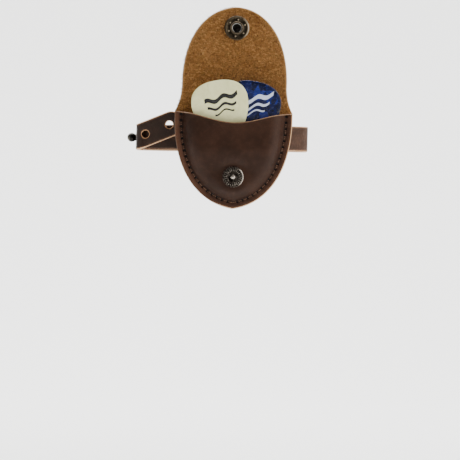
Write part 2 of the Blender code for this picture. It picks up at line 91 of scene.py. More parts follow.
# Pocket
MOUTH_DIP = 4.6 * MM
MOUTH_DROP = 0.4 * MM
BULGE_MOUTH = 5.5 * MM
BULGE_SNAP = 3.6 * MM
BULGE_FALL = (16.0 * MM, 30.0 * MM)
SEAM_WIDTH = 3.9 * MM
ROLL_WIDTH = 8.0 * MM
SNAP_DROP = 29.8 * MM
SEAT_RADIUS = 5.6 * MM
SEAT_BLEND = 3.2 * MM
MOUTH_EDGE = 8.0 * MM  # how far down the cut edge belongs to the mouth
MOUTH_TAN = 0.40

# Flap
FLAP_LENGTH = 49.3 * MM
FLAP_WAIST = 23.6 * MM
FLAP_WAIST_HEIGHT = 11.0 * MM
SPLIT = FOLD / 2  # the back piece and the flap piece meet here, in the middle of the fold strip
CREASE_BEND = 1.6 * MM  # leather either side of a crease that takes up its turn
FUZZ_COUNT = 900
FUZZ_ON_LEFT = 0.72  # the share of the fibres on the flap's left edge
FUZZ_LENGTHS_LEFT = (0.3, 1.1)  # millimetres
FUZZ_LENGTHS_RIGHT = (0.3, 0.5)

# Seam
STITCH_INSET = 2.9 * MM
STITCH_PITCH = 2.9 * MM
THREAD = 0.25 * MM
STITCH_SHARE = 0.66  # of the pitch, between where one stitch goes in and comes out
STITCH_RISE = 0.18 * MM
STITCH_DIVE = 0.40 * MM
GROOVE_WIDTH = 0.75 * MM
GROOVE_DEPTH = 0.14 * MM

# Hardware
SHARP_TURN = 38  # degrees between faces, above which turned metal has a sharp edge
PLAIN_RUB = 0.3
NUBS = 6  # small raised dots on the socket's flat ring
NUB_START = 22  # degrees, where the first stands
NUB_CIRCLE = 3.95  # millimetres, as the next
NUB_HEIGHT = 0.72
WIRE_RADIUS = 0.2 * MM
SPRING_RADIUS = 2.12 * MM
SPRING_HEIGHT = 0.62 * MM
SPRING_TURN = (-60, 240)  # degrees

# Strap
STRAP_LEFT = -41.0 * MM
STRAP_RIGHT = 33.0 * MM
STRAP_DROOP = -1.0 * MM
STRAP_BEND = 2.4 * MM
STRAP_BACK = -9.0 * MM
STRAP_FRONT = 8.7 * MM
BEHIND_POUCH = PANEL_HIGH.y + GAP + LEATHER / 2
TAIL_TILT = math.radians(23)
TAIL_END = -23.6 * MM
STRAP_STEP = 0.6 * MM
BEHIND_HALF = 10.0 * MM  # half the stretch that lies flat behind the pouch
BEHIND_BEND = 6.0 * MM  # the radius of the soft bends either side of it
REAR_DROOP = (-10.0 * MM, 29.5 * MM)  # where the rear run's droop begins across, and its full stretch
FRONT_DROOP = (10.0 * MM, 46.0 * MM)
TAIL_HOLE = 1.75 * MM
TAIL_HOLE_FLARE = 0.38 * MM
TAIL_HOLES = (4.7 * MM, 16.5 * MM)  # from the bend
STUD_PLACE = -1.0 * MM
FRONT_SPLIT = STRAP_HINGE.x + 6.0 * MM  # where the strap's front run and its buttoned end meet
BUTTONHOLE = 2.35 * MM
BUTTONHOLE_FLARE = 0.3 * MM
BUTTONHOLE_STRETCH = 0.6 * MM
BUTTONHOLE_SHIFT = 0.7 * MM  # behind the stud, which pulls at the hole's front
# Painted shade darkening the strap's left part and its buttoned end.
SHADE_LENGTH = 42.0 * MM  # the painted shade's reach, from the strap's own left end, along its rear run
SHADE_FADE = 12.0 * MM
UPPER_EDGE_SHADE = 0.7  # how far the painted shade darkens the shaded leather's upper cut edge

# Picks
PICK_WIDTH = 26.0 * MM
PICK_LENGTH = 30.0 * MM
PICK_THICKNESS = 0.75 * MM
PICK_LEAN = math.radians(3.95)
PICK_TILT = math.radians(10)
PICK_SHARP_TURN = 50  # degrees between faces, above which a pick has a sharp edge
WAVE_TURN = 0.8  # radians a millimetre
WAVE_SWING = 0.8
# Each printed wave's middle across and up, half length and half height, in millimetres
PICK_WAVES = ((0.8, 6.6, 7.6, 0.95), (0.8, 3.0, 6.6, 0.55), (1.6, 0.3, 4.4, 0.32))

# Camera and light
CAMERA_DISTANCE = 1.6
CAMERA_AIM = (-0.74 * MM, -42.6 * MM)  # where its axis meets the pouch, across and up
CAMERA_ROLL = math.radians(1.5)
FOCAL_LENGTH = 271  # millimetres, as the next
SENSOR_WIDTH = 36
FLOOR_HEIGHT = -0.16
STAGE_HALF = 2.0
STAGE_FRONT = -1.6
STAGE_WALL = 1.1
STAGE_TOP = 2.2
STAGE_TURN = 0.4
LIT_POINT = (0, -0.02, 0.01)
WALL_FOOT = (0, 1.1, 0)
WORLD_STRENGTH = 0.22


# ---------------------------------------------------------------- shader nodes


class Finish:
    """A material under construction: each method adds one node and returns its useful output."""

    def __init__(self, name, roughness=0.5, metallic=0.0, **sockets):
        self.material = bpy.data.materials.new(name)
        self.material.use_nodes = True
        self.tree = self.material.node_tree
        self.shader = self.tree.nodes["Principled BSDF"]
        sockets.update(Roughness=roughness, Metallic=metallic)
        for socket, value in sockets.items():
            self.plug(value, self.shader.inputs[socket.replace("_", " ")])

    def plug(self, value, socket):
        """Gives an input its value: a number, a colour, a vector or another node's output."""
        if isinstance(value, (int, float)):
            socket.default_value = value
        elif isinstance(value, tuple):
            socket.default_value = (*value, 1) if socket.type == "RGBA" else value
        else:
            self.tree.links.new(value, socket)

    def add(self, kind, **inputs):
        """A new node, with its named inputs plugged."""
        node = self.tree.nodes.new("ShaderNode" + kind)
        for name, value in inputs.items():
            self.plug(value, node.inputs[name])
        return node

    def uv(self, name=FLAT_UV):
        node = self.add("UVMap")
        node.uv_map = name
        return node.outputs["UV"]

    def local(self):
        """Local coordinates in millimetres."""
        return self.stretch(self.add("TexCoord").outputs["Object"], (1 / MM, 1 / MM, 1 / MM))

    def stretch(self, vector, scale, turn=0.0):
        return self.add("Mapping", Vector=vector, Scale=scale, Rotation=(0, 0, turn)).outputs["Vector"]

    def cloud(self, vector, scale, detail=3.0, roughness=0.55, distortion=0.0):
        settings = {"Scale": scale, "Detail": detail, "Roughness": roughness, "Distortion": distortion}
        return self.add("TexNoise", Vector=vector, **settings).outputs["Fac"]

    def cells(self, vector, scale, output="Distance"):
        return self.add("TexVoronoi", Vector=vector, Scale=scale).outputs[output]

    def maths(self, operation, first, second=0.0, third=0.0, clamp=False):
        node = self.add("Math")
        node.operation = operation
        node.use_clamp = clamp
        for value, socket in zip((first, second, third), node.inputs):
            self.plug(value, socket)
        return node.outputs[0]

    def plus(self, first, second, clamp=False):
        return self.maths("ADD", first, second, clamp=clamp)

    def times(self, first, second):
        return self.maths("MULTIPLY", first, second)

    def span(self, value, low, high, to_low=0.0, to_high=1.0):
        """value, eased from (low, high) to (to_low, to_high)."""
        node = self.add("MapRange")
        node.interpolation_type = "SMOOTHSTEP"
        for number, socket in zip((value, low, high, to_low, to_high), node.inputs):
            self.plug(number, socket)
        return node.outputs[0]

    def mix(self, share, first, second):
        """The colour first, with that share of the colour second."""
        node = self.add("Mix")
        node.data_type = "RGBA"
        for value, place in ((share, 0), (first, 6), (second, 7)):
            self.plug(value, node.inputs[place])
        return node.outputs[2]

    def split(self, vector):
        return tuple(self.add("SeparateXYZ", Vector=vector).outputs)

    def mark(self, name):
        """A number stored on the mesh's points."""
        node = self.add("Attribute")
        node.attribute_name = name
        return node.outputs["Fac"]

    def between(self, value, low, high, first, second):
        """The colour first where value is below low, second where it is above high."""
        return self.mix(self.span(value, low, high), first, second)

    def over(self, colour, top, share, value, low, high):
        """colour, with that share of top laid over it as value goes from low to high."""
        return self.mix(self.span(value, low, high, 0, share), colour, top)

    def finish(self, colour, roughness=None, heights=()):
        """Plugs in the colour and roughness, and one bump node for each (height, distance in mm)."""
        self.plug(colour, self.shader.inputs["Base Color"])
        if roughness is not None:
            self.plug(roughness, self.shader.inputs["Roughness"])
        socket = self.shader.inputs["Normal"]
        for height, distance in reversed(heights):
            node = self.add("Bump", Height=height, Distance=distance * MM)
            self.plug(node.outputs["Normal"], socket)
            socket = node.inputs["Normal"]
        return self.material


def broken_wear(made, flat, scale, low, high):
    """The mark "wear", broken up by a cloud of that scale."""
    return made.times(made.mark("wear"), made.span(made.cloud(flat, scale, 3, 0.7), low, high))


def leather_grain(made, flat, pebble=1.9):
    """Fine pebbled grain with pores, 0 to 1."""
    pebbles = made.span(made.cells(flat, pebble), 0.0, 0.62, 1.0, 0.0)
    fine = made.cloud(flat, 3.4, 4, 0.6)
    return made.plus(made.times(pebbles, 0.6), made.times(fine, 0.6))


def chocolate_leather():
    """The pocket's dark waxed leather: needle holes along the seam painted near black as shade, a painted
    sheen on the rolled border, and worn edges with painted light on the right.
    """
    made = Finish("chocolate_leather", 0.48, Specular_IOR_Level=0.10)
    flat = made.uv()
    broad = made.cloud(flat, 0.07, 3, 0.5)
    patches = made.cloud(flat, 0.45, 3, 0.6)
    colour = made.between(broad, 0.35, 0.68, (0.020, 0.0080, 0.0038), (0.034, 0.0142, 0.0074))
    colour = made.over(colour, (0.042, 0.019, 0.0105), 0.35, patches, 0.45, 0.75)
    grain = leather_grain(made, flat)
    colour = made.over(colour, (0.013, 0.006, 0.004), 0.30, grain, 0.75, 0.35)

    along, inward, _ = made.split(made.uv(SEAM_UV))
    off_hole = made.maths("PINGPONG", along, STITCH_PITCH / MM / 2)
    off_line = made.maths("SUBTRACT", inward, STITCH_INSET / MM)
    squares = made.plus(made.maths("POWER", off_hole, 2), made.maths("POWER", off_line, 2))
    off = made.maths("SQRT", squares)
    hole = made.span(off, 0.45, 0.85, 1, 0)
    across, _, _ = made.split(flat)
    # Painted sheen: the rolled border outside the stitching is lightened, most on the left.
    outside = made.span(inward, 1.2, 3.2, 1, 0)
    painted_edge_sheen = made.times(outside, made.span(across, -22, -4, 0.55, 0.12))
    colour = made.mix(painted_edge_sheen, colour, (0.095, 0.042, 0.024))
    # Worn edges, lighter on the right, where their mark also carries painted light.
    wear = broken_wear(made, flat, 1.6, 0.36, 0.66)
    colour = made.mix(wear, colour, (0.140, 0.068, 0.038))
    # Painted shade: the needle holes are painted near black.
    colour = made.mix(hole, colour, (0.004, 0.002, 0.0015))
    roughness = made.span(made.cloud(flat, 0.9, 3, 0.6), 0.3, 0.7, 0.38, 0.55)
    return made.finish(colour, roughness, ((grain, 0.045), (made.times(hole, -1), 0.5)))


def suede():
    """Raw flesh side: matted fibres, golden tan with darker and greener patches."""
    sheen = {"Sheen_Weight": 0.10, "Sheen_Roughness": 0.5, "Sheen_Tint": (0.85, 0.62, 0.34)}
    made = Finish("golden_suede", 0.95, Specular_IOR_Level=0.12, **sheen)
    flat = made.uv()
    broad = made.cloud(flat, 0.085, 4, 0.55)
    patches = made.cloud(flat, 0.36, 4, 0.62, 0.6)
    fibres = made.cloud(made.stretch(flat, (1.0, 1.9, 1), 0.5), 0.62, 6, 0.78, 1.2)
    crossing = made.cloud(made.stretch(flat, (1.8, 1.0, 1), 0.9), 0.95, 6, 0.78, 1.0)
    pits = made.cloud(flat, 0.55, 5, 0.8, 0.4)
    colour = made.between(broad, 0.32, 0.68, (0.150, 0.059, 0.013), (0.198, 0.086, 0.023))
    colour = made.over(colour, (0.160, 0.078, 0.019), 0.65, patches, 0.42, 0.70)
    colour = made.over(colour, (0.370, 0.185, 0.060), 0.85, fibres, 0.48, 0.62)
    colour = made.over(colour, (0.052, 0.018, 0.003), 0.95, crossing, 0.50, 0.38)
    colour = made.over(colour, (0.022, 0.007, 0.002), 0.90, pits, 0.42, 0.33)
    # On the back panel this edge mark also carries painted light on the right.
    edge = made.mark("wear")
    colour = made.mix(made.times(edge, 0.45), colour, (0.42, 0.24, 0.10))
    height = made.plus(fibres, made.times(crossing, 0.8))
    return made.finish(colour, None, ((height, 0.50), (patches, 0.45)))


def outer_grain():
    """The grain side of the back and the flap, which faces away."""
    made = Finish("brown_outer_grain", 0.48, Specular_IOR_Level=0.15)
    flat = made.uv()
    broad = made.cloud(flat, 0.06, 3, 0.5)
    colour = made.between(broad, 0.33, 0.7, (0.032, 0.013, 0.0065), (0.062, 0.028, 0.015))
    grain = leather_grain(made, flat, 1.5)
    colour = made.over(colour, (0.022, 0.011, 0.008), 0.35, grain, 0.75, 0.3)
    # On the back panel this edge mark also carries painted light on the right.
    wear = broken_wear(made, flat, 1.2, 0.35, 0.65)
    colour = made.mix(wear, colour, (0.17, 0.10, 0.06))
    roughness = made.span(made.cloud(flat, 0.8, 3, 0.6), 0.3, 0.7, 0.40, 0.58)
    return made.finish(colour, roughness, ((grain, 0.06),))


def raw_edge():
    """Cut leather edges: pale tan fibre where the mark "tan" is 1, dark brown where it is 0; the mark paints
    light and shade on them.
    """
    made = Finish("raw_edge", 0.85, Specular_IOR_Level=0.25, Sheen_Weight=0.15)
    flat = made.uv()
    layers = made.cloud(made.stretch(flat, (2.2, 2.2, 1)), 1.6, 4, 0.7, 0.8)
    pale = made.between(layers, 0.34, 0.68, (0.30, 0.150, 0.062), (0.58, 0.36, 0.20))
    dark_edge = made.between(layers, 0.34, 0.68, (0.030, 0.013, 0.008), (0.085, 0.040, 0.023))
    colour = made.mix(made.mark("tan"), dark_edge, pale)
    return made.finish(colour, None, ((layers, 0.12),))


def strap_leather():
    """The strap's brown leather: darkened by painted shade where its shade mark is 1, and lighter along its
    edges.
    """
    made = Finish("strap_leather", 0.42, Specular_IOR_Level=0.22)
    flat = made.uv()
    broad = made.cloud(made.stretch(flat, (1.0, 0.35, 1)), 0.16, 3, 0.55)
    colour = made.between(broad, 0.32, 0.68, (0.044, 0.020, 0.0105), (0.082, 0.039, 0.0215))
    grain = leather_grain(made, flat, 1.7)
    creases = made.cloud(made.stretch(flat, (0.5, 3.2, 1)), 0.9, 4, 0.65, 0.9)
    colour = made.over(colour, (0.030, 0.015, 0.010), 0.35, grain, 0.75, 0.3)
    colour = made.over(colour, (0.165, 0.092, 0.056), 0.45, creases, 0.52, 0.75)
    # Painted shade: the shaded stretch is darkened towards near black.
    colour = made.mix(made.mark("painted_shade"), colour, made.mix(0.82, colour, (0.010, 0.004, 0.002)))
    wear = broken_wear(made, flat, 1.3, 0.3, 0.62)
    colour = made.mix(made.times(wear, 0.8), colour, (0.22, 0.125, 0.072))
    roughness = made.span(made.cloud(flat, 1.1, 3, 0.6), 0.3, 0.7, 0.34, 0.54)
    return made.finish(colour, roughness, ((grain, 0.05), (creases, 0.05)))


def thread_finish():
    """Waxed brown thread, twisted, with painted shade where the twist dips."""
    made = Finish("brown_thread", 0.6, Specular_IOR_Level=0.15)
    along, around, _ = made.split(made.uv())
    turns = made.plus(made.times(along, 9.0), made.times(around, math.tau))
    twist = made.span(made.maths("SINE", turns), -1, 1)
    # Painted shade: the colour darkens where the twist dips, in step with its bump.
    colour = made.mix(twist, (0.010, 0.004, 0.0025), (0.115, 0.060, 0.034))
    return made.finish(colour, None, ((twist, 0.10),))


def antique_metal(name, dark, bright, roughness=0.34):
    """Aged brass: bright where its rub mark is 1, tarnished in the hollows; the rub mark also carries painted
    highlights.
    """
    made = Finish(name, roughness, 1.0)
    place_on = made.local()
    stain = made.cloud(place_on, 0.9, 4, 0.65)
    specks = made.cloud(place_on, 4.5, 3, 0.7)
    rub_and_highlight = made.plus(made.mark("rub_and_highlight"), made.span(specks, 0.45, 0.8, -0.12, 0.2), clamp=True)
    colour = made.mix(rub_and_highlight, dark, bright)
    colour = made.over(colour, tuple(0.35 * value for value in bright), 0.45, stain, 0.42, 0.75)
    rough = made.span(stain, 0.3, 0.75, roughness - 0.08, roughness + 0.18)
    return made.finish(colour, rough, ((specks, 0.025),))


def spring_metal():
    made = Finish("spring_steel", 0.28, 1.0)
    streak = made.cloud(made.stretch(made.local(), (1, 6, 1)), 2.0, 3, 0.6)
    colour = made.between(streak, 0.3, 0.7, (0.30, 0.29, 0.26), (0.55, 0.54, 0.50))
    return made.finish(colour, made.span(streak, 0.3, 0.7, 0.2, 0.4), ((streak, 0.01),))


def wave_mask(made, across, up, slant, waves):
    """Plain wavy lines: 1 on a line."""
    total = 0.0
    for x, z, length, height in waves:
        wave = made.maths("SINE", made.times(across, WAVE_TURN))
        swing = made.times(wave, WAVE_SWING)
        middle = made.plus(made.maths("MULTIPLY_ADD", across, slant, z), swing)
        level = made.maths("ABSOLUTE", made.maths("SUBTRACT", up, middle))
        away = made.maths("ABSOLUTE", made.maths("SUBTRACT", across, x))
        on_height = made.span(level, height, height + 0.12, 1, 0)
        on_length = made.span(away, length, length + 0.2, 1, 0)
        total = made.plus(total, made.times(on_height, on_length), clamp=True)
    return total


def cream_plastic():
    made = Finish("cream_plastic", 0.28, Specular_IOR_Level=0.35, Coat_Weight=0.1, Coat_Roughness=0.12)
    flat = made.uv()
    across, up, _ = made.split(flat)
    swirl = made.cloud(flat, 0.16, 4, 0.55, 1.2)
    colour = made.between(swirl, 0.3, 0.7, (0.61, 0.60, 0.31), (0.71, 0.70, 0.385))
    scuffs = made.cloud(made.stretch(flat, (0.4, 5, 1), 0.7), 1.4, 4, 0.7)
    colour = made.over(colour, (0.42, 0.41, 0.31), 0.3, scuffs, 0.62, 0.8)
    ink = wave_mask(made, across, up, 0.16, PICK_WAVES)
    colour = made.mix(ink, colour, (0.012, 0.012, 0.012))
    roughness = made.span(scuffs, 0.4, 0.8, 0.22, 0.45)
    return made.finish(colour, roughness, ((scuffs, 0.008), (ink, 0.02)))


def blue_pearl_plastic():
    """Navy pearl: overlapping flakes that differ in brightness."""
    made = Finish("blue_pearl_plastic", 0.25, Specular_IOR_Level=0.3, Coat_Weight=0.1, Coat_Roughness=0.08)
    flat = made.uv()
    across, up, _ = made.split(flat)
    bent = made.cloud(flat, 0.25, 3, 0.6, 2.5)
    flakes = made.cells(made.stretch(flat, (0.34, 0.22, 1), 0.6), 1.0, "Color")
    flake, _, _ = made.split(flakes)
    shine = made.plus(made.times(flake, 0.45), made.times(bent, 0.75))
    colour = made.between(shine, 0.30, 0.62, (0.0014, 0.0020, 0.009), (0.0035, 0.007, 0.050))
    colour = made.over(colour, (0.012, 0.022, 0.165), 1.0, shine, 0.60, 0.88)
    ink = wave_mask(made, across, up, 0.5, PICK_WAVES)
    colour = made.mix(ink, colour, (0.50, 0.54, 0.66))
    return made.finish(colour, made.span(bent, 0.3, 0.7, 0.14, 0.30), ((ink, 0.02),))


def plain_stage():
    made = Finish("pale_stage", 0.9, Specular_IOR_Level=0.1)
    tone = made.cloud(made.local(), 0.002, 2, 0.5)
    return made.finish(made.mix(tone, (0.93, 0.93, 0.92), (0.96, 0.96, 0.95)))


# ---------------------------------------------------------------- flat outlines


def smooth(value):
    value = np.clip(value, 0.0, 1.0)
    return value * value * (3 - 2 * value)


def bezier(ends, t):
    t = np.asarray(t)[:, None]
    first, second, third, last = (np.array(end) for end in ends)
    return (1 - t) ** 3 * first + 3 * (1 - t) ** 2 * t * second + 3 * (1 - t) * t**2 * third + t**3 * last


def lengths_along(points):
    """The length along a path at each of its points."""
    return np.concatenate([[0], np.cumsum(np.linalg.norm(np.diff(points, axis=0), axis=1))])


def pocket_side(t):
    """The pouch's right edge, from the crease (t = 0) to the bottom tip (t = 1)."""
    handles = [
        (HALF_WIDTH, 0),
        (1.03 * HALF_WIDTH, -0.60 * DEPTH),
        (0.60 * HALF_WIDTH, -0.945 * DEPTH),
        (0, -DEPTH),
    ]
    return bezier(handles, t)


def flap_side(steps):
    """The flap's right edge, from the crease up to its tip."""
    flare = [
        (HALF_WIDTH, 0),
        (24.8 * MM, 0.27 * FLAP_WAIST_HEIGHT),
        (23.8 * MM, 0.6 * FLAP_WAIST_HEIGHT),
        (FLAP_WAIST, FLAP_WAIST_HEIGHT),
    ]
    dome = [
        (FLAP_WAIST, FLAP_WAIST_HEIGHT),
        (24.3 * MM, 0.71 * FLAP_LENGTH),
        (13.7 * MM, 0.985 * FLAP_LENGTH),
        (0, FLAP_LENGTH),
    ]
    t = np.linspace(0, 1, steps)
    return np.vstack([bezier(flare, t[::2]), bezier(dome, t[1:])])


FLAP_EDGE = flap_side(120)
EDGE = pocket_side(np.linspace(0, 1, 500))[::-1]  # from the tip up to the crease
EDGE_LENGTHS = lengths_along(EDGE)


def like_right(x):
    """The place on the right half that x matches."""
    return x if x > 0 else -x / LEFT_STRETCH


def seam_place(x, z):
    """Distance along the outline from its tip, and in from it, of the flat point (x, z)."""
    gaps = np.hypot(EDGE[:, 0] - like_right(x), EDGE[:, 1] - z)
    nearest = int(gaps.argmin())
    return EDGE_LENGTHS[nearest], gaps[nearest]


def bulge(x, z):
    """How far the pocket's inner face stands off the flat seam at (x, z)."""
    from_edge = seam_place(x, z)[1]
    fall = smooth((-z - BULGE_FALL[0]) / (BULGE_FALL[1] - BULGE_FALL[0]))
    full = BULGE_MOUTH + (BULGE_SNAP - BULGE_MOUTH) * fall
    roll = np.clip((from_edge - SEAM_WIDTH) / ROLL_WIDTH, 0, 1)
    pillow = full * (1 - (1 - roll) ** 3)
    seat = 1 - smooth((math.hypot(x, z + SNAP_DROP) - SEAT_RADIUS) / SEAT_BLEND)
    return pillow * (1 - seat) + BULGE_SNAP * seat


def ripple(x, z, size, seed):
    """Slow unevenness, between about -1 and 1."""
    return noise.noise(Vector((x / size, z / size, seed)))


# ---------------------------------------------------------------- objects and rings of points


def link(name, data):
    made = bpy.data.objects.new(name, data)
    bpy.context.scene.collection.objects.link(made)
    return made


def mesh_object(name, body, *finishes):
    """The object made from a finished bmesh."""
    data = bpy.data.meshes.new(name)
    body.to_mesh(data)
    body.free()
    for finish in finishes:
        data.materials.append(finish)
    return link(name, data)


def settle(piece, body, slot_name, *nodes):
    """Gives a rigid piece its body and hides the frame's nodes that it stands for; slot_name, its material
    slot, is not used.
    """
    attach(piece, body)
    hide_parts(*nodes)


def bridge(body, one, two):
    """The faces between two closed rings of points."""
    faces = []
    for k in range(len(one)):
        after = (k + 1) % len(one)
        faces.append(body.faces.new((one[k], one[after], two[after], two[k])))
    return faces


# ---------------------------------------------------------------- sheets of leather


def boundary_of(rows):
    """Grid places round a sheet in order. A row of one point is a tip."""
    last = len(rows) - 1
    loop = [(0, j) for j in range(len(rows[0]))]
    loop += [(i, len(rows[i]) - 1) for i in range(1, last)]
    loop += [(last, j) for j in reversed(range(len(rows[last])))]
    loop += [(i, 0) for i in reversed(range(1, last))]
    return loop


def inward_steps(flat, loop, open_rows):
    """For each boundary place, the flat step that insets it by 1, mitred at corners."""
    points = [flat[key] for key in loop]
    area = sum(a.x * b.y - b.x * a.y for a, b in zip(points, points[1:] + points[:1]))
    side = math.copysign(1, area)

    def normal(k):
        one, two = loop[k], loop[(k + 1) % len(loop)]
        if one[0] == two[0] and one[0] in open_rows:
            return Vector((0, 0))
        along = (flat[two] - flat[one]).normalized()
        return Vector((-along.y, along.x)) * side

    steps = {}
    for k, key in enumerate(loop):
        before, after = normal(k - 1), normal(k)
        steps[key] = (before + after) / (1 + before.dot(after))
    return steps


def skin_faces(body, rows, skin):
    """The faces between neighbouring rows, the first or last of which may be a tip of one point."""
    faces = []
    for i in range(len(rows) - 1):
        upper, lower = len(rows[i]), len(rows[i + 1])
        for j in range(max(upper, lower) - 1):
            corners = [(i, j), (i, j + 1)] if upper > 1 else [(i, 0)]
            corners += [(i + 1, j + 1), (i + 1, j)] if lower > 1 else [(i + 1, 0)]
            faces.append(body.faces.new([skin[corner] for corner in corners]))
    return faces


def sheet(name, rows, where, finishes, open_rows=(), marks=None, seam=False):
    """A sheet of leather with rounded edges, from rows of flat points and where(across, along, depth)."""
    flat = {(i, j): Vector(point) for i, row in enumerate(rows) for j, point in enumerate(row)}
    loop = boundary_of(rows)
    steps = inward_steps(flat, loop, open_rows)
    body = bmesh.new()
    flat_uv = {}

    def add(point, depth, uv_shift=Vector((0, 0))):
        vert = body.verts.new(where(point.x, point.y, depth))
        flat_uv[vert] = (point + uv_shift, point)
        return vert

    inset = {}
    for i, row in enumerate(rows):
        left, right = steps[(i, 0)], steps[(i, len(row) - 1)]
        for j in range(len(row)):
            share = j / max(len(row) - 1, 1)
            step = steps.get((i, j), left.lerp(right, share))
            inset[(i, j)] = flat[(i, j)] + step * EDGE_RADIUS
    skins = []
    for depth in (0, LEATHER):
        skins.append({key: add(point, depth) for key, point in inset.items()})
    faces = {FACE: skin_faces(body, rows, skins[0]), BACK: skin_faces(body, rows, skins[1]), CUT: []}
    rings = [[skins[0][key] for key in loop]]
    turns = [(angle, False) for angle in RIM_TURNS] + [(angle, True) for angle in reversed(RIM_TURNS)]
    for angle, behind in turns:
        turn = math.radians(angle)
        step_in = EDGE_RADIUS * (1 - math.sin(turn))
        depth = EDGE_RADIUS * (1 - math.cos(turn))
        depth = LEATHER - depth if behind else depth
        rings.append([add(flat[key] + steps[key] * step_in, depth, -steps[key] * depth) for key in loop])
    rings.append([skins[1][key] for key in loop])
    for one, two in zip(rings, rings[1:]):
        for k, key in enumerate(loop):
            following = (k + 1) % len(loop)
            if key[0] == loop[following][0] and key[0] in open_rows:
                continue
            quad = (one[k], one[following], two[following], two[k])
            faces[CUT].append(body.faces.new(quad))
    for index, group in faces.items():
        for face in group:
            face.material_index = index
            face.smooth = True
    bmesh.ops.recalc_face_normals(body, faces=body.faces)
    body.normal_update()
    middle = faces[FACE][len(faces[FACE]) // 2]
    spot = flat_uv[middle.verts[0]][1]
    facing = Vector(where(spot.x, spot.y, 0)) - Vector(where(spot.x, spot.y, LEATHER))
    if middle.normal.dot(facing) < 0:
        bmesh.ops.reverse_faces(body, faces=body.faces)

    layer = body.loops.layers.uv.new(FLAT_UV)
    seam_layer = body.loops.layers.uv.new(SEAM_UV) if seam else None
    seams = {vert: seam_place(*point) for vert, (_, point) in flat_uv.items()} if seam else {}
    for face in body.faces:
        for corner in face.loops:
            corner[layer].uv = flat_uv[corner.vert][0] / MM
            if seam:
                corner[seam_layer].uv = Vector(seams[corner.vert]) / MM
    body.verts.index_update()
    places = [flat_uv[vert][1] for vert in body.verts]
    made = mesh_object(name, body, *finishes)
    for mark, measure in (marks or {}).items():
        values = made.data.attributes.new(mark, "FLOAT", "POINT")
        values.data.foreach_set("value", [float(measure(*point)) for point in places])
    return made


def spread(half_width, height, columns):
    """A straight row of flat points across the pouch, half_width on its right."""
    if half_width < TINY:
        return [(0.0, height)]
    shares = np.linspace(-1, 1, columns)
    return [(half_width * u * (1 if u > 0 else LEFT_STRETCH), height) for u in shares]


def flap_row(side, s, columns):
    """A straight row across the flap, whose edge is side, at the length s above the lower crease."""
    return spread(float(np.interp(s, side[:, 1], side[:, 0])), float(s), columns)


def crease_profile():
    """Path of the back and flap leather's face, as arrays of length along it, y and z."""
    along = np.arange(-DEPTH - 1 * MM, FLAP_LENGTH + 1 * MM, 0.1 * MM)
    lean = LEAN * smooth((along + CREASE_BEND) / (2 * CREASE_BEND))
    y = np.concatenate([[0], np.cumsum(np.sin(lean[:-1]) * np.diff(along))])
    z = np.concatenate([[0], np.cumsum(np.cos(lean[:-1]) * np.diff(along))])
    at_bottom = float(np.interp(-DEPTH, along, z))
    return along, y + CREASE.y, z - at_bottom + CREASE.z - DEPTH, lean


PROFILE = crease_profile()


def on_back(x, s, depth):
    """The back and flap leather: s is the length above the lower crease."""
    y, z, lean = (float(np.interp(s, PROFILE[0], values)) for values in PROFILE[1:])
    waves = 0.10 * MM * ripple(x, s, 9 * MM, 3.1) + 0.05 * MM * ripple(x, s, 2.5 * MM, 7.7)
    depth += waves * float(smooth((s - SPLIT) / (4 * MM)) + smooth((-s - 2 * MM) / (4 * MM)) * 0.3)
    return (x, y + depth * math.cos(lean), z - depth * math.sin(lean))


def painted_edge_light(x, s):
    """Painted light and shade on cut edges: pale as lit on the right and at the bottom, and painted dark as
    shade up the left side.
    """
    return 0.12 + 0.88 * smooth((x + 12 * MM) / (10 * MM))


def flap_edge_wear(x, s):
    gap = float(np.hypot(FLAP_EDGE[:, 0] - like_right(x), FLAP_EDGE[:, 1] - s).min())
    return smooth(1 - gap / (1.3 * MM))


# Worn edges near the outline, plus painted light: their weighting towards the right follows the light from
# the right.
def pocket_wear_and_edge_light(x, z):
    return smooth(1 - seam_place(x, z)[1] / (1.5 * MM)) * (0.35 + 0.65 * painted_edge_light(x, z))


def make_back(finishes):
    """The back of the pouch up to the middle of the fold strip."""
    columns = 45
    rows = [spread(x, s, columns) for x, s in pocket_side(np.linspace(1, 0, 70))]
    side = flap_side(60)
    for s in np.arange(ROW_STEP, SPLIT - 0.1 * MM, ROW_STEP):
        rows.append(flap_row(side, s, columns))
    rows.append(flap_row(side, SPLIT, columns))
    # The back's cut edges carry the painted edge light and shade.
    marks = {"wear": pocket_wear_and_edge_light, "tan": painted_edge_light}
    back = sheet("pouch_back_leather", rows, on_back, finishes, (len(rows) - 1,), marks)
    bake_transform(back)
    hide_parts("back_panel", "flap_fold")


def blend_flap(piece):
    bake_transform(piece)


def make_flap(finishes):
    """The flap from the middle of the fold strip to its tip."""
    columns = 61
    side = flap_side(90)
    bend_top = FOLD + 4 * MM
    rows = [flap_row(side, s, columns) for s in np.arange(SPLIT, bend_top, ROW_STEP)]
    rows += [spread(x, s, columns) for x, s in side if s > bend_top + 0.3 * MM]
    # The flap's cut edges carry the painted edge light and shade too, less strongly.
    marks = {"wear": flap_edge_wear, "tan": lambda x, s: 0.55 + 0.45 * painted_edge_light(x, s)}
    flap = sheet("flap_leather", rows, on_back, finishes, (0,), marks)
    blend_flap(flap)
    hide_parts("flap_panel")


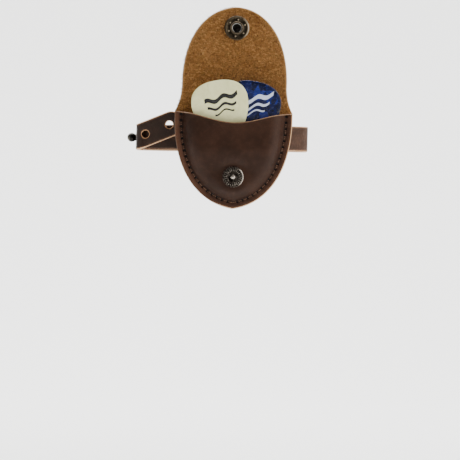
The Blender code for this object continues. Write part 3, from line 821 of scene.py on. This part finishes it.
def make_edge_fuzz(finish):
    """Short loose fibres standing off the flap's cut edge, thickest on its left."""
    rng = np.random.default_rng(11)
    side = flap_side(200)
    body = bmesh.new()
    layer = body.loops.layers.uv.new(FLAT_UV)
    for _ in range(FUZZ_COUNT):
        k = int(rng.integers(20, len(side) - 4))
        left = rng.random() < FUZZ_ON_LEFT
        sign = -LEFT_STRETCH if left else 1
        along = Vector(side[k + 1] - side[k]).normalized()
        out = Vector((along.y, -along.x))
        length = rng.uniform(*(FUZZ_LENGTHS_LEFT if left else FUZZ_LENGTHS_RIGHT)) * MM
        heading = (out + along * rng.normal(0, 0.7)).normalized()
        width = along * rng.uniform(0.04, 0.08) * MM
        start = Vector(side[k]) - out * 0.25 * MM
        depth = rng.uniform(0.1, 0.9) * LEATHER
        lift = rng.normal(0, 0.25) * MM
        corners = (
            (start - width, depth),
            (start + width, depth),
            (start + heading * length * 0.6 + width * 0.6, depth + lift * 0.4),
            (start + heading * length, depth + lift),
        )
        verts = [body.verts.new(on_back(sign * point.x, point.y, deep)) for point, deep in corners]
        face = body.faces.new(verts)
        for corner, (point, _) in zip(face.loops, corners):
            corner[layer].uv = point / MM
    fuzz = mesh_object("flap_edge_fuzz", body, finish)
    blend_flap(fuzz)


def on_pocket(x, z, depth):
    """The front of the pocket; depth 0 is its outer face."""
    inward = seam_place(x, z)[1]
    groove = GROOVE_DEPTH * float(smooth(1 - abs(inward - STITCH_INSET) / GROOVE_WIDTH))
    uneven = 0.10 * MM * ripple(x, z, 11 * MM, 1.3) * float(smooth((inward - STITCH_INSET) / (5 * MM)))
    stand = GAP + LEATHER + bulge(x, z) + uneven - groove * (1 - depth / LEATHER)
    return (x, CREASE.y - stand + depth, CREASE.z + z)


def pocket_tan(x, z):
    """As the painted edge light, but the mouth's edge is held partly dark all along, at MOUTH_TAN."""
    if z < -MOUTH_EDGE or abs(x) > HALF_WIDTH - 1 * MM:
        return painted_edge_light(x, z)
    return MOUTH_TAN


def make_pocket(finishes):
    columns = np.sin(np.linspace(-math.pi / 2, math.pi / 2, 121))
    rows = []
    for row in np.linspace(0, 1, 96):
        half_width, height = pocket_side([row])[0]
        if half_width < TINY:
            rows.append([(0.0, float(height))])
            continue
        dips = (MOUTH_DIP * np.cos(columns * math.pi / 2) ** 2 + MOUTH_DROP) * (1 - row) ** 2
        sides = np.where(columns > 0, half_width, half_width * LEFT_STRETCH)
        rows.append([(float(x), float(height - dip)) for x, dip in zip(sides * columns, dips)])
    marks = {"wear": pocket_wear_and_edge_light, "tan": pocket_tan}
    pocket = sheet("pocket_leather", rows, on_pocket, finishes, (), marks, seam=True)
    settle(pocket, "pouch", "chocolate_leather", "front_pocket")


# ---------------------------------------------------------------- stitching


def tube(body, layer, path, radius, sides=8):
    """A thread along path, with its UV running (length, turn), closed at both ends."""
    loops = []
    length = 0.0
    for i, point in enumerate(path):
        along = (path[min(i + 1, len(path) - 1)] - path[max(i - 1, 0)]).normalized()
        across = along.cross(Vector((0, 1, 0))).normalized()
        up = across.cross(along)
        length += (point - path[max(i - 1, 0)]).length
        angles = [2 * math.pi * k / sides for k in range(sides)]
        spots = [point + (across * math.cos(a) + up * math.sin(a)) * radius for a in angles]
        ring = [body.verts.new(spot) for spot in spots]
        loops.append((ring, length))
    for (one, low), (two, high) in zip(loops, loops[1:]):
        for k, face in enumerate(bridge(body, one, two)):
            face.smooth = True
            uvs = ((low, k), (low, k + 1), (high, k + 1), (high, k))
            for corner, (at, turn) in zip(face.loops, uvs):
                corner[layer].uv = (at / MM, turn / sides)
    body.faces.new(loops[0][0])
    body.faces.new(loops[-1][0][::-1])


def seam_point(length):
    """The flat point on the stitch line at a signed distance along the outline from its tip."""
    at = np.interp(abs(length), EDGE_LENGTHS, np.arange(len(EDGE)))
    low = int(min(at, len(EDGE) - 2))
    here = Vector(EDGE[low]).lerp(Vector(EDGE[low + 1]), at - low)
    along = Vector(EDGE[low + 1] - EDGE[low]).normalized()
    inside = here + Vector((-along.y, along.x)) * STITCH_INSET
    return (inside.x if length > 0 else -inside.x * LEFT_STRETCH, inside.y)


def make_stitches(name, behind, node, finish):
    """One raised length of thread between each pair of needle holes, diving in at both ends."""
    body = bmesh.new()
    layer = body.loops.layers.uv.new(FLAT_UV)
    count = int((EDGE_LENGTHS[-1] - 2.4 * MM) / STITCH_PITCH)
    for k in range(-count, count):
        path = []
        for turn in np.linspace(0, math.pi, 9):
            share = 0.5 - 0.5 * STITCH_SHARE * math.cos(turn)
            x, z = seam_point((k + share) * STITCH_PITCH + TINY)
            rise = STITCH_RISE * math.sin(turn) - STITCH_DIVE * (1 - math.sin(turn)) ** 2
            surface = on_back(x, z, LEATHER) if behind else on_pocket(x, z, 0)
            path.append(Vector(surface) + Vector((0, rise if behind else -rise, 0)))
        tube(body, layer, path, THREAD)
    bmesh.ops.recalc_face_normals(body, faces=body.faces)
    settle(mesh_object(name, body, finish), "pouch", "thread", node)


# ---------------------------------------------------------------- strap


def rounded_path(corners, steps=14):
    """Plan points along straight runs whose corners, given as (x, y, radius), are rounded."""
    points = [Vector(corners[0][:2])]
    for before, corner, after in zip(corners, corners[1:], corners[2:]):
        here = Vector(corner[:2])
        into = (here - Vector(before[:2])).normalized()
        out = (Vector(after[:2]) - here).normalized()
        turn = into.angle(out)
        reach = corner[2] * math.tan(turn / 2)
        start = here - into * reach
        side = math.copysign(1, into.cross(out))
        centre = start + Vector((-into.y, into.x)) * side * corner[2]
        for i in range(steps + 1):
            points.append(centre + Matrix.Rotation(side * turn * i / steps, 2) @ (start - centre))
    points.append(Vector(corners[-1][:2]))
    return points


def evenly(points, step):
    """The same path with points about a step apart, as an array."""
    points = np.array([tuple(point) for point in points])
    lengths = lengths_along(points)
    at = np.linspace(0, lengths[-1], int(lengths[-1] / step) + 1)
    return np.column_stack([np.interp(at, lengths, points[:, k]) for k in range(points.shape[1])]), at


class Ribbon:
    """A strap's middle line with its width direction: at() places a flat point of the strap in space."""

    def __init__(self, centres, ups, lengths):
        self.lengths = lengths
        self.centres = centres
        self.ups = ups
        along = np.gradient(centres, axis=0)
        self.outs = np.cross(along, ups)
        self.outs /= np.linalg.norm(self.outs, axis=1)[:, None]

    def at(self, across, along, depth):
        read = [
            np.array([np.interp(along, self.lengths, values[:, k]) for k in range(3)])
            for values in (self.centres, self.ups, self.outs)
        ]
        dent = 0.05 * MM * ripple(across, along, 6 * MM, 5.5)
        return tuple(read[0] + read[1] * across + read[2] * (LEATHER / 2 - depth + dent))


def strap_row(half_width, s, columns):
    """A row of flat points across a strap at the length s."""
    return [(float(half_width * u), float(s)) for u in np.linspace(-1, 1, columns)]


def strap_marks(shade_from, shade_until, lower_edge_shade):
    """Marks of a strap piece with painted shade between two lengths, fading to plain brown outside them.

    The last argument is how far the painted shade darkens the lower cut edge.
    """

    def wear(across, along):
        return smooth(1 - (STRAP_HALF - abs(across)) / (1.1 * MM)) * 0.9

    # Painted shade, full between the two lengths.
    def painted_shade(across, along):
        begun = smooth(1 - (shade_from - along) / SHADE_FADE)
        return begun * smooth(1 - (along - shade_until) / SHADE_FADE)

    # The cut edges take the painted shade too.
    def cut_tan(across, along):
        edge_shade = UPPER_EDGE_SHADE if across > 0 else lower_edge_shade
        return 1 - edge_shade * painted_shade(across, along)

    return {"wear": wear, "painted_shade": painted_shade, "tan": cut_tan}


def make_strap(finishes):
    """The strap from under its buttoned end, behind the pouch and round the headstock to the left front."""
    plan = rounded_path(
        [
            (STRAP_LEFT, 4.5 * MM, 0),
            (STRAP_LEFT, STRAP_BACK, STRAP_BEND),
            (-22.0 * MM, STRAP_BACK - 1.4 * MM, BEHIND_BEND),
            (-BEHIND_HALF, BEHIND_POUCH, BEHIND_BEND),
            (BEHIND_HALF, BEHIND_POUCH, BEHIND_BEND),
            (STRAP_RIGHT, STRAP_BACK, STRAP_BEND),
            (STRAP_RIGHT, STRAP_FRONT, STRAP_BEND),
            (FRONT_SPLIT, STRAP_FRONT, 0),
        ]
    )
    flat_path, lengths = evenly(plan, STRAP_STEP)
    droop = np.zeros(len(lengths))
    on_left = lengths < lengths[-1] * 0.3
    on_front = flat_path[:, 1] > STRAP_FRONT - 0.1 * MM
    for here, (begin, stretch) in ((on_left, REAR_DROOP), (on_front, FRONT_DROOP)):
        droop = np.where(here, STRAP_DROOP * smooth((begin - flat_path[:, 0]) / stretch), droop)
    centres = np.column_stack([flat_path, droop])
    ups = np.tile((0.0, 0.0, 1.0), (len(centres), 1))
    ribbon = Ribbon(centres, ups, lengths)
    rows = [strap_row(STRAP_HALF, s, 13) for s in ribbon.lengths]
    # Painted shade over the rear run's left part.
    marks = strap_marks(0.0, SHADE_LENGTH, UPPER_EDGE_SHADE)
    strap = sheet("strap_leather", rows, ribbon.at, finishes, (len(rows) - 1,), marks)
    settle(strap, "pouch", "strap_leather", "strap_band")


def tail_plan():
    side = STRAP_HINGE.x - LEATHER / 2
    tail_back = STRAP_BACK - LEATHER - GAP
    plan = rounded_path(
        [
            (FRONT_SPLIT, STRAP_FRONT, 0),
            (side, STRAP_FRONT, 1.6 * MM),
            (side, tail_back, STRAP_BEND),
            (-30.0 * MM, tail_back - 0.9 * MM, 40.0 * MM),
            (TAIL_END, tail_back - 1.6 * MM, 0),
        ]
    )
    path, lengths = evenly(plan, ROW_STEP)
    return path, lengths, side, tail_back


def make_strap_end(finishes):
    """The buttoned end: round the front left corner, along the side, and out as the tail."""
    path, lengths, side, tail_back = tail_plan()
    bend_start = tail_back + STRAP_BEND
    x, y = path[:, 0], path[:, 1]
    past_bend = np.clip((bend_start - y) / (2 * STRAP_BEND), 0, None) + (x - side) / (2 * STRAP_BEND)
    tilt = TAIL_TILT * smooth(np.where(y < bend_start, past_bend, 0))
    steps = np.concatenate([[0], np.diff(lengths)])
    height = STRAP_DROOP + np.cumsum(steps * np.tan(tilt))
    centres = np.column_stack([x, y, height])
    along = np.gradient(centres, axis=0)
    along /= np.linalg.norm(along, axis=1)[:, None]
    plan_along = np.gradient(path, axis=0)
    plan_along /= np.linalg.norm(plan_along, axis=1)[:, None]
    outward = np.column_stack([plan_along[:, 1], -plan_along[:, 0], np.zeros(len(path))])
    ups = np.cross(outward, along)
    ups *= np.sign(ups[:, 2])[:, None]
    true_lengths = lengths_along(centres)
    ribbon = Ribbon(centres, ups, true_lengths)
    total = true_lengths[-1]

    def half_width(s):
        from_end = min((total - s) / STRAP_HALF, 1.0)
        return STRAP_HALF * math.sqrt(max(1 - (1 - from_end) ** 2, 0.0))

    fine_end = total - STRAP_HALF * (1 - np.cos(np.linspace(math.pi / 2, 0, 16)))
    ribbon_rows = [s for s in true_lengths if s < fine_end[0] - 0.2 * MM] + list(fine_end)
    rows = [strap_row(half_width(s), s, 17) for s in ribbon_rows[:-1]]
    rows.append([(0.0, float(total))])
    # Painted shade over the end, from a little past its start to its tip.
    marks = strap_marks(SHADE_FADE + 2 * MM, total, 0.0)
    end = sheet("strap_end_leather", rows, ribbon.at, finishes, (0,), marks)
    punch_end(end, ribbon, centres, true_lengths, side)
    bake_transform(end)
    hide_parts("strap_end")


def punch_end(end, ribbon, centres, lengths, side):
    """Cuts the buttonhole and the two spare holes, each with a rubbed rim, out of the end's mesh."""
    cutters = []
    buttonhole = cutter("buttonhole_cutter", BUTTONHOLE, BUTTONHOLE_FLARE, BUTTONHOLE_STRETCH)
    place_side = Vector((side, STUD_PLACE - BUTTONHOLE_SHIFT, STRAP_DROOP))
    buttonhole.matrix_world = Matrix.Translation(place_side) @ Matrix.Rotation(-math.pi / 2, 4, "Y")
    cutters.append(buttonhole)
    after_bend = int(np.argmax((centres[:, 0] > side + 0.7 * STRAP_BEND) & (centres[:, 1] < 0)))
    for number, distance in enumerate(TAIL_HOLES):
        x = side - LEATHER / 2 + distance * math.cos(TAIL_TILT)
        at = np.interp(x, centres[after_bend:, 0], lengths[after_bend:])
        face, back = Vector(ribbon.at(0, at, 0)), Vector(ribbon.at(0, at, LEATHER))
        hole = cutter(f"tail_hole_cutter_{number}", TAIL_HOLE, TAIL_HOLE_FLARE, 0.0)
        turn = (face - back).to_track_quat("Z", "Y").to_matrix().to_4x4()
        hole.matrix_world = Matrix.Translation((face + back) / 2) @ turn
        cutters.append(hole)
    for tool in cutters:
        for finish in end.data.materials:
            tool.data.materials.append(finish)
        boolean = end.modifiers.new(tool.name, "BOOLEAN")
        boolean.operation = "DIFFERENCE"
        boolean.solver = "EXACT"
        boolean.object = tool
    bpy.context.view_layer.update()
    graph = bpy.context.evaluated_depsgraph_get()
    punched = bpy.data.meshes.new_from_object(end.evaluated_get(graph), depsgraph=graph)
    end.modifiers.clear()
    end.data = punched
    tan = punched.attributes["tan"].data
    for polygon in punched.polygons:
        if polygon.material_index == CUT:
            for index in polygon.vertices:
                tan[index].value = 1.0
    for tool in cutters:
        bpy.data.objects.remove(tool)


def cutter(name, radius, flare, stretch, sides=48):
    """A punch along local Z that flares at the leather's face; stretch makes it a slot along local Y."""
    half = LEATHER / 2
    profile = (
        (radius, -2 * LEATHER),
        (radius, half - 0.25 * MM),
        (radius + 0.4 * flare, half - 0.08 * MM),
        (radius + flare, half + 0.06 * MM),
        (radius + flare, 2 * LEATHER),
    )
    body = bmesh.new()
    rings = []
    for reach, height in profile:
        ring = []
        for k in range(sides):
            angle = 2 * math.pi * (k + 0.5) / sides
            y = reach * math.sin(angle)
            ring.append(body.verts.new((reach * math.cos(angle), y + math.copysign(stretch / 2, y), height)))
        rings.append(ring)
    for one, two in zip(rings, rings[1:]):
        bridge(body, one, two)
    body.faces.new(rings[0][::-1])
    body.faces.new(rings[-1])
    bmesh.ops.recalc_face_normals(body, faces=body.faces)
    for face in body.faces:
        face.material_index = CUT
    return mesh_object(name, body)


# ---------------------------------------------------------------- hardware


def arc(centre, radius, start, end, steps):
    """(radius, height) points on a round stretch of a turned profile, angles in degrees."""
    angles = np.radians(np.linspace(start, end, steps))
    return [(centre[0] + radius * math.cos(a), centre[1] + radius * math.sin(a)) for a in angles]


def turned(name, profile, finish, matrix, teeth=None, bright=None, segments=96, painted_highlight_from=None):
    """A turned piece round local Z from (radius, height) in millimetres.

    teeth is (count, inner radius, outer radius, rise): radial ridges pressed in between two radii.
    bright(radius, height) is how rubbed the metal is there. Outside the radius given last, the side towards
    local X carries a painted highlight.
    """
    body = bmesh.new()
    rings = []
    rub_and_highlight_values = []
    for radius, height in profile:
        ring = []
        for k in range(segments):
            angle = 2 * math.pi * k / segments
            rise = 0.0
            rub_and_highlight = bright(radius, height) if bright else PLAIN_RUB
            # A painted highlight: outside that radius, the side towards local X is painted bright.
            if painted_highlight_from and radius > painted_highlight_from:
                rub_and_highlight = max(rub_and_highlight, float(smooth(1.6 * math.cos(angle) - 0.6)))
            if teeth and teeth[1] <= radius <= teeth[2]:
                ridge = float(smooth(1.8 * math.cos(teeth[0] * angle) - 0.5))
                rise = teeth[3] * (2 * ridge - 1)
                rub_and_highlight = 0.5 * ridge
            point = (radius * math.cos(angle), radius * math.sin(angle), height + rise)
            ring.append(body.verts.new(Vector(point) * MM))
            rub_and_highlight_values.append(rub_and_highlight)
        rings.append(ring)
    for one, two in zip(rings, rings[1:]):
        for face in bridge(body, one, two):
            face.smooth = True
    bmesh.ops.recalc_face_normals(body, faces=body.faces)
    made = mesh_object(name, body, finish)
    values = made.data.attributes.new("rub_and_highlight", "FLOAT", "POINT")
    values.data.foreach_set("value", rub_and_highlight_values)
    made.data.set_sharp_from_angle(angle=math.radians(SHARP_TURN))
    made.matrix_world = matrix
    return made


def facing(origin, direction):
    """A matrix at origin whose local Z points along direction."""
    turn = Vector(direction).to_track_quat("Z", "Y").to_matrix().to_4x4()
    return Matrix.Translation(Vector(origin)) @ turn


def flap_point(s, depth):
    return CREASE + FLAP_UP * s + FLAP_BACK * depth


def middle_of(node):
    low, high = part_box(node)
    return (low + high) / 2


def make_snap_on_flap(brass, dark, steel):
    snap = (middle_of("snap_socket") - CREASE).dot(FLAP_UP)
    front = facing(flap_point(snap, -GAP), -FLAP_BACK)
    socket = [
        (5.25, 0.0),
        (5.62, 0.12),
        *arc((5.22, 0.62), 0.48, -15, 110, 9),
        (4.75, 0.86),
        (4.55, 0.74),
        (3.35, 0.70),
        (3.05, 0.82),
        *arc((2.72, 0.98), 0.36, 20, 165, 9),
        (2.30, 0.80),
        (2.22, 0.25),
    ]

    def rubbed(radius, height):
        on_rim = smooth((radius - 4.75) / 0.3)
        on_lip = smooth(1 - abs(radius - 2.72) / 0.45) * smooth((height - 0.75) / 0.3)
        return max(0.12 * on_rim, 0.40 * on_lip)

    # Past 4.8 mm the ring's rim carries a painted highlight on its side towards local X.
    ring = turned("snap_socket_ring", socket, brass, front, bright=rubbed, painted_highlight_from=4.8)
    settle(ring, "flap", "antique_brass", "snap_socket")
    cup = [(2.3, 0.4), (2.2, 0.16), (1.2, 0.12), (0.5, 0.2), (0.01, 0.22)]
    # The well is blackened brass with no rub: painted shade in the socket's cavity.
    well = turned("snap_socket_well", cup, dark, front, bright=lambda radius, height: 0.0)
    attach(well, "flap")
    nub = [(0.40, -0.06), (0.34, 0.09), (0.22, 0.17), (0.01, 0.2)]
    for k in range(NUBS):
        angle = math.radians(360 / NUBS * k + NUB_START)
        stand = Vector((NUB_CIRCLE * math.cos(angle), NUB_CIRCLE * math.sin(angle), NUB_HEIGHT))
        shift = Matrix.Translation(stand * MM)
        dot = turned(f"socket_nub_{k}", nub, brass, front @ shift, bright=lambda r, h: 1.0, segments=24)
        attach(dot, "flap")
    wire = bpy.data.curves.new("snap_spring_wire", "CURVE")
    wire.dimensions = "3D"
    wire.bevel_depth = WIRE_RADIUS
    wire.bevel_resolution = 3
    wire.use_fill_caps = True
    spline = wire.splines.new("POLY")
    angles = np.radians(np.linspace(*SPRING_TURN, 49))
    spline.points.add(len(angles) - 1)
    for point, angle in zip(spline.points, angles):
        point.co = (SPRING_RADIUS * math.cos(angle), SPRING_RADIUS * math.sin(angle), SPRING_HEIGHT, 1)
    wire.materials.append(steel)
    spring = link("snap_spring_wire", wire)
    spring.matrix_world = front
    settle(spring, "flap", "spring_steel", "snap_spring")

    back = facing(flap_point(snap, LEATHER + GAP), FLAP_BACK)
    cap = [
        (5.0, -0.05),
        (5.75, 0.02),
        *arc((5.72, 0.5), 0.48, -80, 80, 9),
        *arc((0, -9.75), 12.1, 61.5, 90, 14)[:-1],
        (0.01, 2.35),
    ]

    def rubbed_edge(radius, height):
        return 0.15 + 0.5 * smooth((radius - 4.8) / 0.8)

    dome = turned("snap_cap_dome", cap, brass, back, bright=rubbed_edge)
    settle(dome, "flap", "antique_brass", "snap_cap")


def make_snap_on_pocket(finish):
    front_y = CREASE.y - GAP - LEATHER - BULGE_SNAP
    height = CREASE.z - SNAP_DROP
    stud = [
        (4.50, 0.0),
        *arc((4.46, 0.30), 0.32, -60, 150, 12),
        (4.00, 0.36),
        (3.60, 0.38),
        (3.20, 0.38),
        (2.75, 0.36),
        (2.40, 0.30),
        (1.90, 0.20),
        (1.25, 0.22),
        (1.10, 0.50),
        *arc((0, 0.84), 1.22, -14, 88, 14),
        (0.01, 2.06),
    ]

    def rubbed(radius, height):
        on_ball = smooth((height - 0.8) / 0.7)
        on_rim = smooth((radius - 4.15) / 0.15)
        return max(0.6 * on_ball, 0.05 * on_rim)

    forward = facing((0, front_y - GAP * 0.5, height), (0, -1, 0))
    teeth = (24, 2.7, 4.05, 0.2)
    # Past 4.3 mm the stud's rim carries a painted highlight on its side towards local X.
    stud_piece = turned("snap_stud_post", stud, finish, forward, teeth, rubbed, 240, 4.3)
    settle(stud_piece, "pouch", "antique_brass", "snap_stud")
    inside = facing((0, CREASE.y - BULGE_SNAP + 0.35 * MM, height), (0, 1, 0))
    washer = [
        (1.7, -2.2),
        (1.75, -0.35),
        (4.0, -0.35),
        (4.28, -0.2),
        (4.1, -0.03),
        (2.0, 0.0),
        (1.7, -0.12),
        (0.01, -0.12),
    ]
    flange = turned("snap_rivet_inside", washer, finish, inside, bright=lambda r, h: 0.4)
    settle(flange, "pouch", "antique_brass", "snap_post")


def make_rivets(brass):
    for name in ("left", "right"):
        cap_spot = middle_of(f"rivet_cap_{name}")
        cap_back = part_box(f"rivet_cap_{name}")[1].y
        cap = [(3.2, 0.0), *arc((3.2, 0.2), 0.2, -60, 60, 5), *arc((0, -5.6), 6.5, 60.5, 88, 10), (0.01, 0.9)]
        cap_foot = facing((cap_spot.x, cap_back, cap_spot.z), (0, -1, 0))
        made = turned(f"rivet_dome_{name}", cap, brass, cap_foot)
        settle(made, "pouch", "antique_brass", f"rivet_cap_{name}")
        post_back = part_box(f"rivet_post_{name}")[1].y
        post = [
            (1.25, -4.1),
            (1.3, -0.5),
            (3.1, -0.5),
            *arc((3.12, -0.33), 0.17, -70, 75, 5),
            (2.8, -0.04),
            (1.5, 0.0),
            (1.1, -0.16),
            (0.01, -0.2),
        ]
        spot = (cap_spot.x, post_back, cap_spot.z)
        made = turned(f"rivet_foot_{name}", post, brass, facing(spot, (0, 1, 0)), bright=lambda r, h: 0.5)
        settle(made, "pouch", "antique_brass", f"rivet_post_{name}")


def make_button(dark):
    """The ball stud through the strap's left side, and its screw inside."""
    middle = middle_of("button_stud")
    base = (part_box("button_stud")[1].x, middle.y, middle.z)
    stud = [
        (3.3, 0.0),
        *arc((3.38, 0.22), 0.2, -60, 70, 5),
        (3.0, 0.62),
        (1.85, 0.80),
        (1.45, 1.15),
        (1.22, 1.9),
        (1.25, 2.7),
        (1.42, 3.15),
        (1.50, 3.45),
        *arc((0, 5.05), 2.1, -42, 88, 18),
        (0.01, 7.15),
    ]

    def rubbed(radius, height):
        return 0.7 * float(smooth((height - 5.2) / 1.6))

    piece = turned("button_stud_ball", stud, dark, facing(base, (-1, 0, 0)), bright=rubbed)
    settle(piece, "pouch", "dark_brass", "button_stud")
    middle = middle_of("button_stud_screw")
    seat = (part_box("button_stud_screw")[1].x - 0.9 * MM, middle.y, middle.z)
    head = [
        (0.6, -3.2),
        (0.6, -0.02),
        (3.35, 0.0),
        (3.3, 0.25),
        (2.9, 0.55),
        (1.5, 0.82),
        (0.9, 0.6),
        (0.01, 0.55),
    ]
    screw = turned("button_stud_screw_head", head, dark, facing(seat, (1, 0, 0)))
    settle(screw, "pouch", "dark_brass", "button_stud_screw")


# ---------------------------------------------------------------- picks


def pick_outline(steps=26):
    half, top = PICK_WIDTH / 2, PICK_LENGTH / 2
    shoulder = top / 3
    t = np.linspace(0, 1, steps)
    base = bezier([(0, top), (0.65 * half, top), (half, 0.77 * top), (half, shoulder)], t)
    side = bezier([(half, shoulder), (half, -0.30 * top), (0.38 * half, -top), (0, -top)], t)
    return np.vstack([base, side[1:]])


def make_pick(name, node, body_name, tilt, finish, slot_name):
    """A moulded pick: bevelled all round."""
    half = pick_outline()
    body = bmesh.new()
    layer = body.loops.layers.uv.new(FLAT_UV)
    bevel = ((1.0, 0.12), (0.994, 0.26), (0.975, 0.42), (0.94, 0.5))
    outline = [tuple(p) for p in half] + [(-x, z) for x, z in half[-2:0:-1]]
    loops = []
    shares = [(share, depth) for share, depth in bevel] + [(s, 0.5) for s in np.linspace(0.85, 0.12, 15)]
    for side in (1, -1):
        rings = []
        for share, depth in shares:
            y = -side * depth * PICK_THICKNESS
            rings.append([body.verts.new((x * share, y, z * share)) for x, z in outline])
        centre = body.verts.new((0, -0.5 * side * PICK_THICKNESS, 0))
        loops.append((rings, centre))
    count = len(outline)
    for rings, centre in loops:
        for one, two in zip(rings, rings[1:]):
            bridge(body, one, two)
        for k in range(count):
            body.faces.new((rings[-1][k], rings[-1][(k + 1) % count], centre))
    bridge(body, loops[0][0][0], loops[1][0][0])
    for face in body.faces:
        face.smooth = True
        for corner in face.loops:
            corner[layer].uv = (corner.vert.co.x / MM, corner.vert.co.z / MM)
    bmesh.ops.recalc_face_normals(body, faces=body.faces)
    made = mesh_object(name, body, finish)
    made.data.set_sharp_from_angle(angle=math.radians(PICK_SHARP_TURN))
    turn = Matrix.Rotation(PICK_LEAN, 4, "X") @ Matrix.Rotation(tilt, 4, "Y")
    made.matrix_world = Matrix.Translation(middle_of(node)) @ turn
    # The outline isn't symmetric about its middle, so the turned mesh is lined up with the frame's box.
    bpy.context.view_layer.update()
    spots = np.array([made.matrix_world @ vert.co for vert in made.data.vertices])
    off = middle_of(node) - Vector((spots.min(axis=0) + spots.max(axis=0)) / 2)
    made.matrix_world = Matrix.Translation(off) @ made.matrix_world
    settle(made, body_name, slot_name, node)


# ---------------------------------------------------------------- stage, light and camera


def make_camera():
    data = bpy.data.cameras.new("camera")
    data.sensor_width = SENSOR_WIDTH
    data.lens = FOCAL_LENGTH
    camera = link("camera", data)
    place_at = Vector((CAMERA_AIM[0], -CAMERA_DISTANCE, CAMERA_AIM[1]))
    turn = Matrix.Rotation(math.pi / 2, 4, "X") @ Matrix.Rotation(CAMERA_ROLL, 4, "Z")
    camera.matrix_world = Matrix.Translation(place_at) @ turn
    bpy.context.scene.camera = camera


def make_stage():
    """A pale floor that curves up into a pale wall."""
    centre = (STAGE_WALL - STAGE_TURN, FLOOR_HEIGHT + STAGE_TURN)
    turn = []
    for angle in np.linspace(0, math.pi / 2, 13):
        turn.append((centre[0] + STAGE_TURN * math.sin(angle), centre[1] - STAGE_TURN * math.cos(angle)))
    profile = [(STAGE_FRONT, FLOOR_HEIGHT), *turn, (STAGE_WALL, STAGE_TOP)]
    verts = [(x, y, z) for y, z in profile for x in (-STAGE_HALF, STAGE_HALF)]
    faces = [(2 * i, 2 * i + 1, 2 * i + 3, 2 * i + 2) for i in range(len(profile) - 1)]
    data = bpy.data.meshes.new("stage")
    data.from_pydata(verts, [], faces)
    data.polygons.foreach_set("use_smooth", [True] * len(data.polygons))
    data.materials.append(plain_stage())
    link("stage", data)


def soft_light(name, place_at, target, size, power, colour=(1, 1, 1)):
    data = bpy.data.lights.new(name, "AREA")
    data.shape = "RECTANGLE"
    data.size, data.size_y = size
    data.energy = power
    data.color = colour
    lamp = link(name, data)
    lamp.matrix_world = facing(place_at, Vector(place_at) - Vector(target))


def make_lights():
    soft_light("key", (0.75, -0.80, 0.60), LIT_POINT, (0.35, 0.35), 5.5, (1.0, 0.985, 0.96))
    soft_light("side", (0.62, -0.24, 0.05), LIT_POINT, (0.7, 0.9), 4.5)
    soft_light("fill", (-0.8, -0.8, 0.2), LIT_POINT, (0.9, 0.9), 1.6)
    soft_light("top", (0.0, 0.0, 0.9), LIT_POINT, (0.8, 0.4), 2.2)
    soft_light("back", (-0.7, 0.8, 1.0), LIT_POINT, (0.5, 0.5), 3.0)
    soft_light("wall", (0.0, 0.35, 1.7), WALL_FOOT, (1.8, 0.4), 95.0)
    world = bpy.data.worlds.new("soft_world")
    world.use_nodes = True
    background = world.node_tree.nodes["Background"]
    background.inputs["Color"].default_value = (1, 1, 1, 1)
    background.inputs["Strength"].default_value = WORLD_STRENGTH
    bpy.context.scene.world = world


make_camera()
make_stage()
make_lights()
SUEDE = suede()
GRAIN = outer_grain()
EDGE_FINISH = raw_edge()
BRASS = antique_metal("antique_brass", (0.026, 0.019, 0.011), (0.40, 0.32, 0.22))
DARK = antique_metal("blackened_brass", (0.010, 0.009, 0.008), (0.16, 0.145, 0.12), 0.3)
THREAD_FINISH = thread_finish()
STRAP = strap_leather()
STEEL = spring_metal()

make_back([SUEDE, GRAIN, EDGE_FINISH])
make_flap([SUEDE, GRAIN, EDGE_FINISH])
make_edge_fuzz(SUEDE)
make_pocket([chocolate_leather(), SUEDE, EDGE_FINISH])
make_stitches("stitches_front", False, "seam_thread_front", THREAD_FINISH)
make_stitches("stitches_back", True, "seam_thread_back", THREAD_FINISH)
make_strap([STRAP, SUEDE, EDGE_FINISH])
make_strap_end([STRAP, SUEDE, EDGE_FINISH])
make_snap_on_flap(BRASS, DARK, STEEL)
make_snap_on_pocket(antique_metal("worn_brass", (0.016, 0.011, 0.008), (0.58, 0.51, 0.43), 0.24))
make_rivets(BRASS)
make_button(DARK)
make_pick("cream_pick", "pick_white", "white_pick", -PICK_TILT, cream_plastic(), "cream_plastic")
make_pick("blue_pick", "pick_blue", "blue_pick", PICK_TILT, blue_pearl_plastic(), "blue_pearl_plastic")
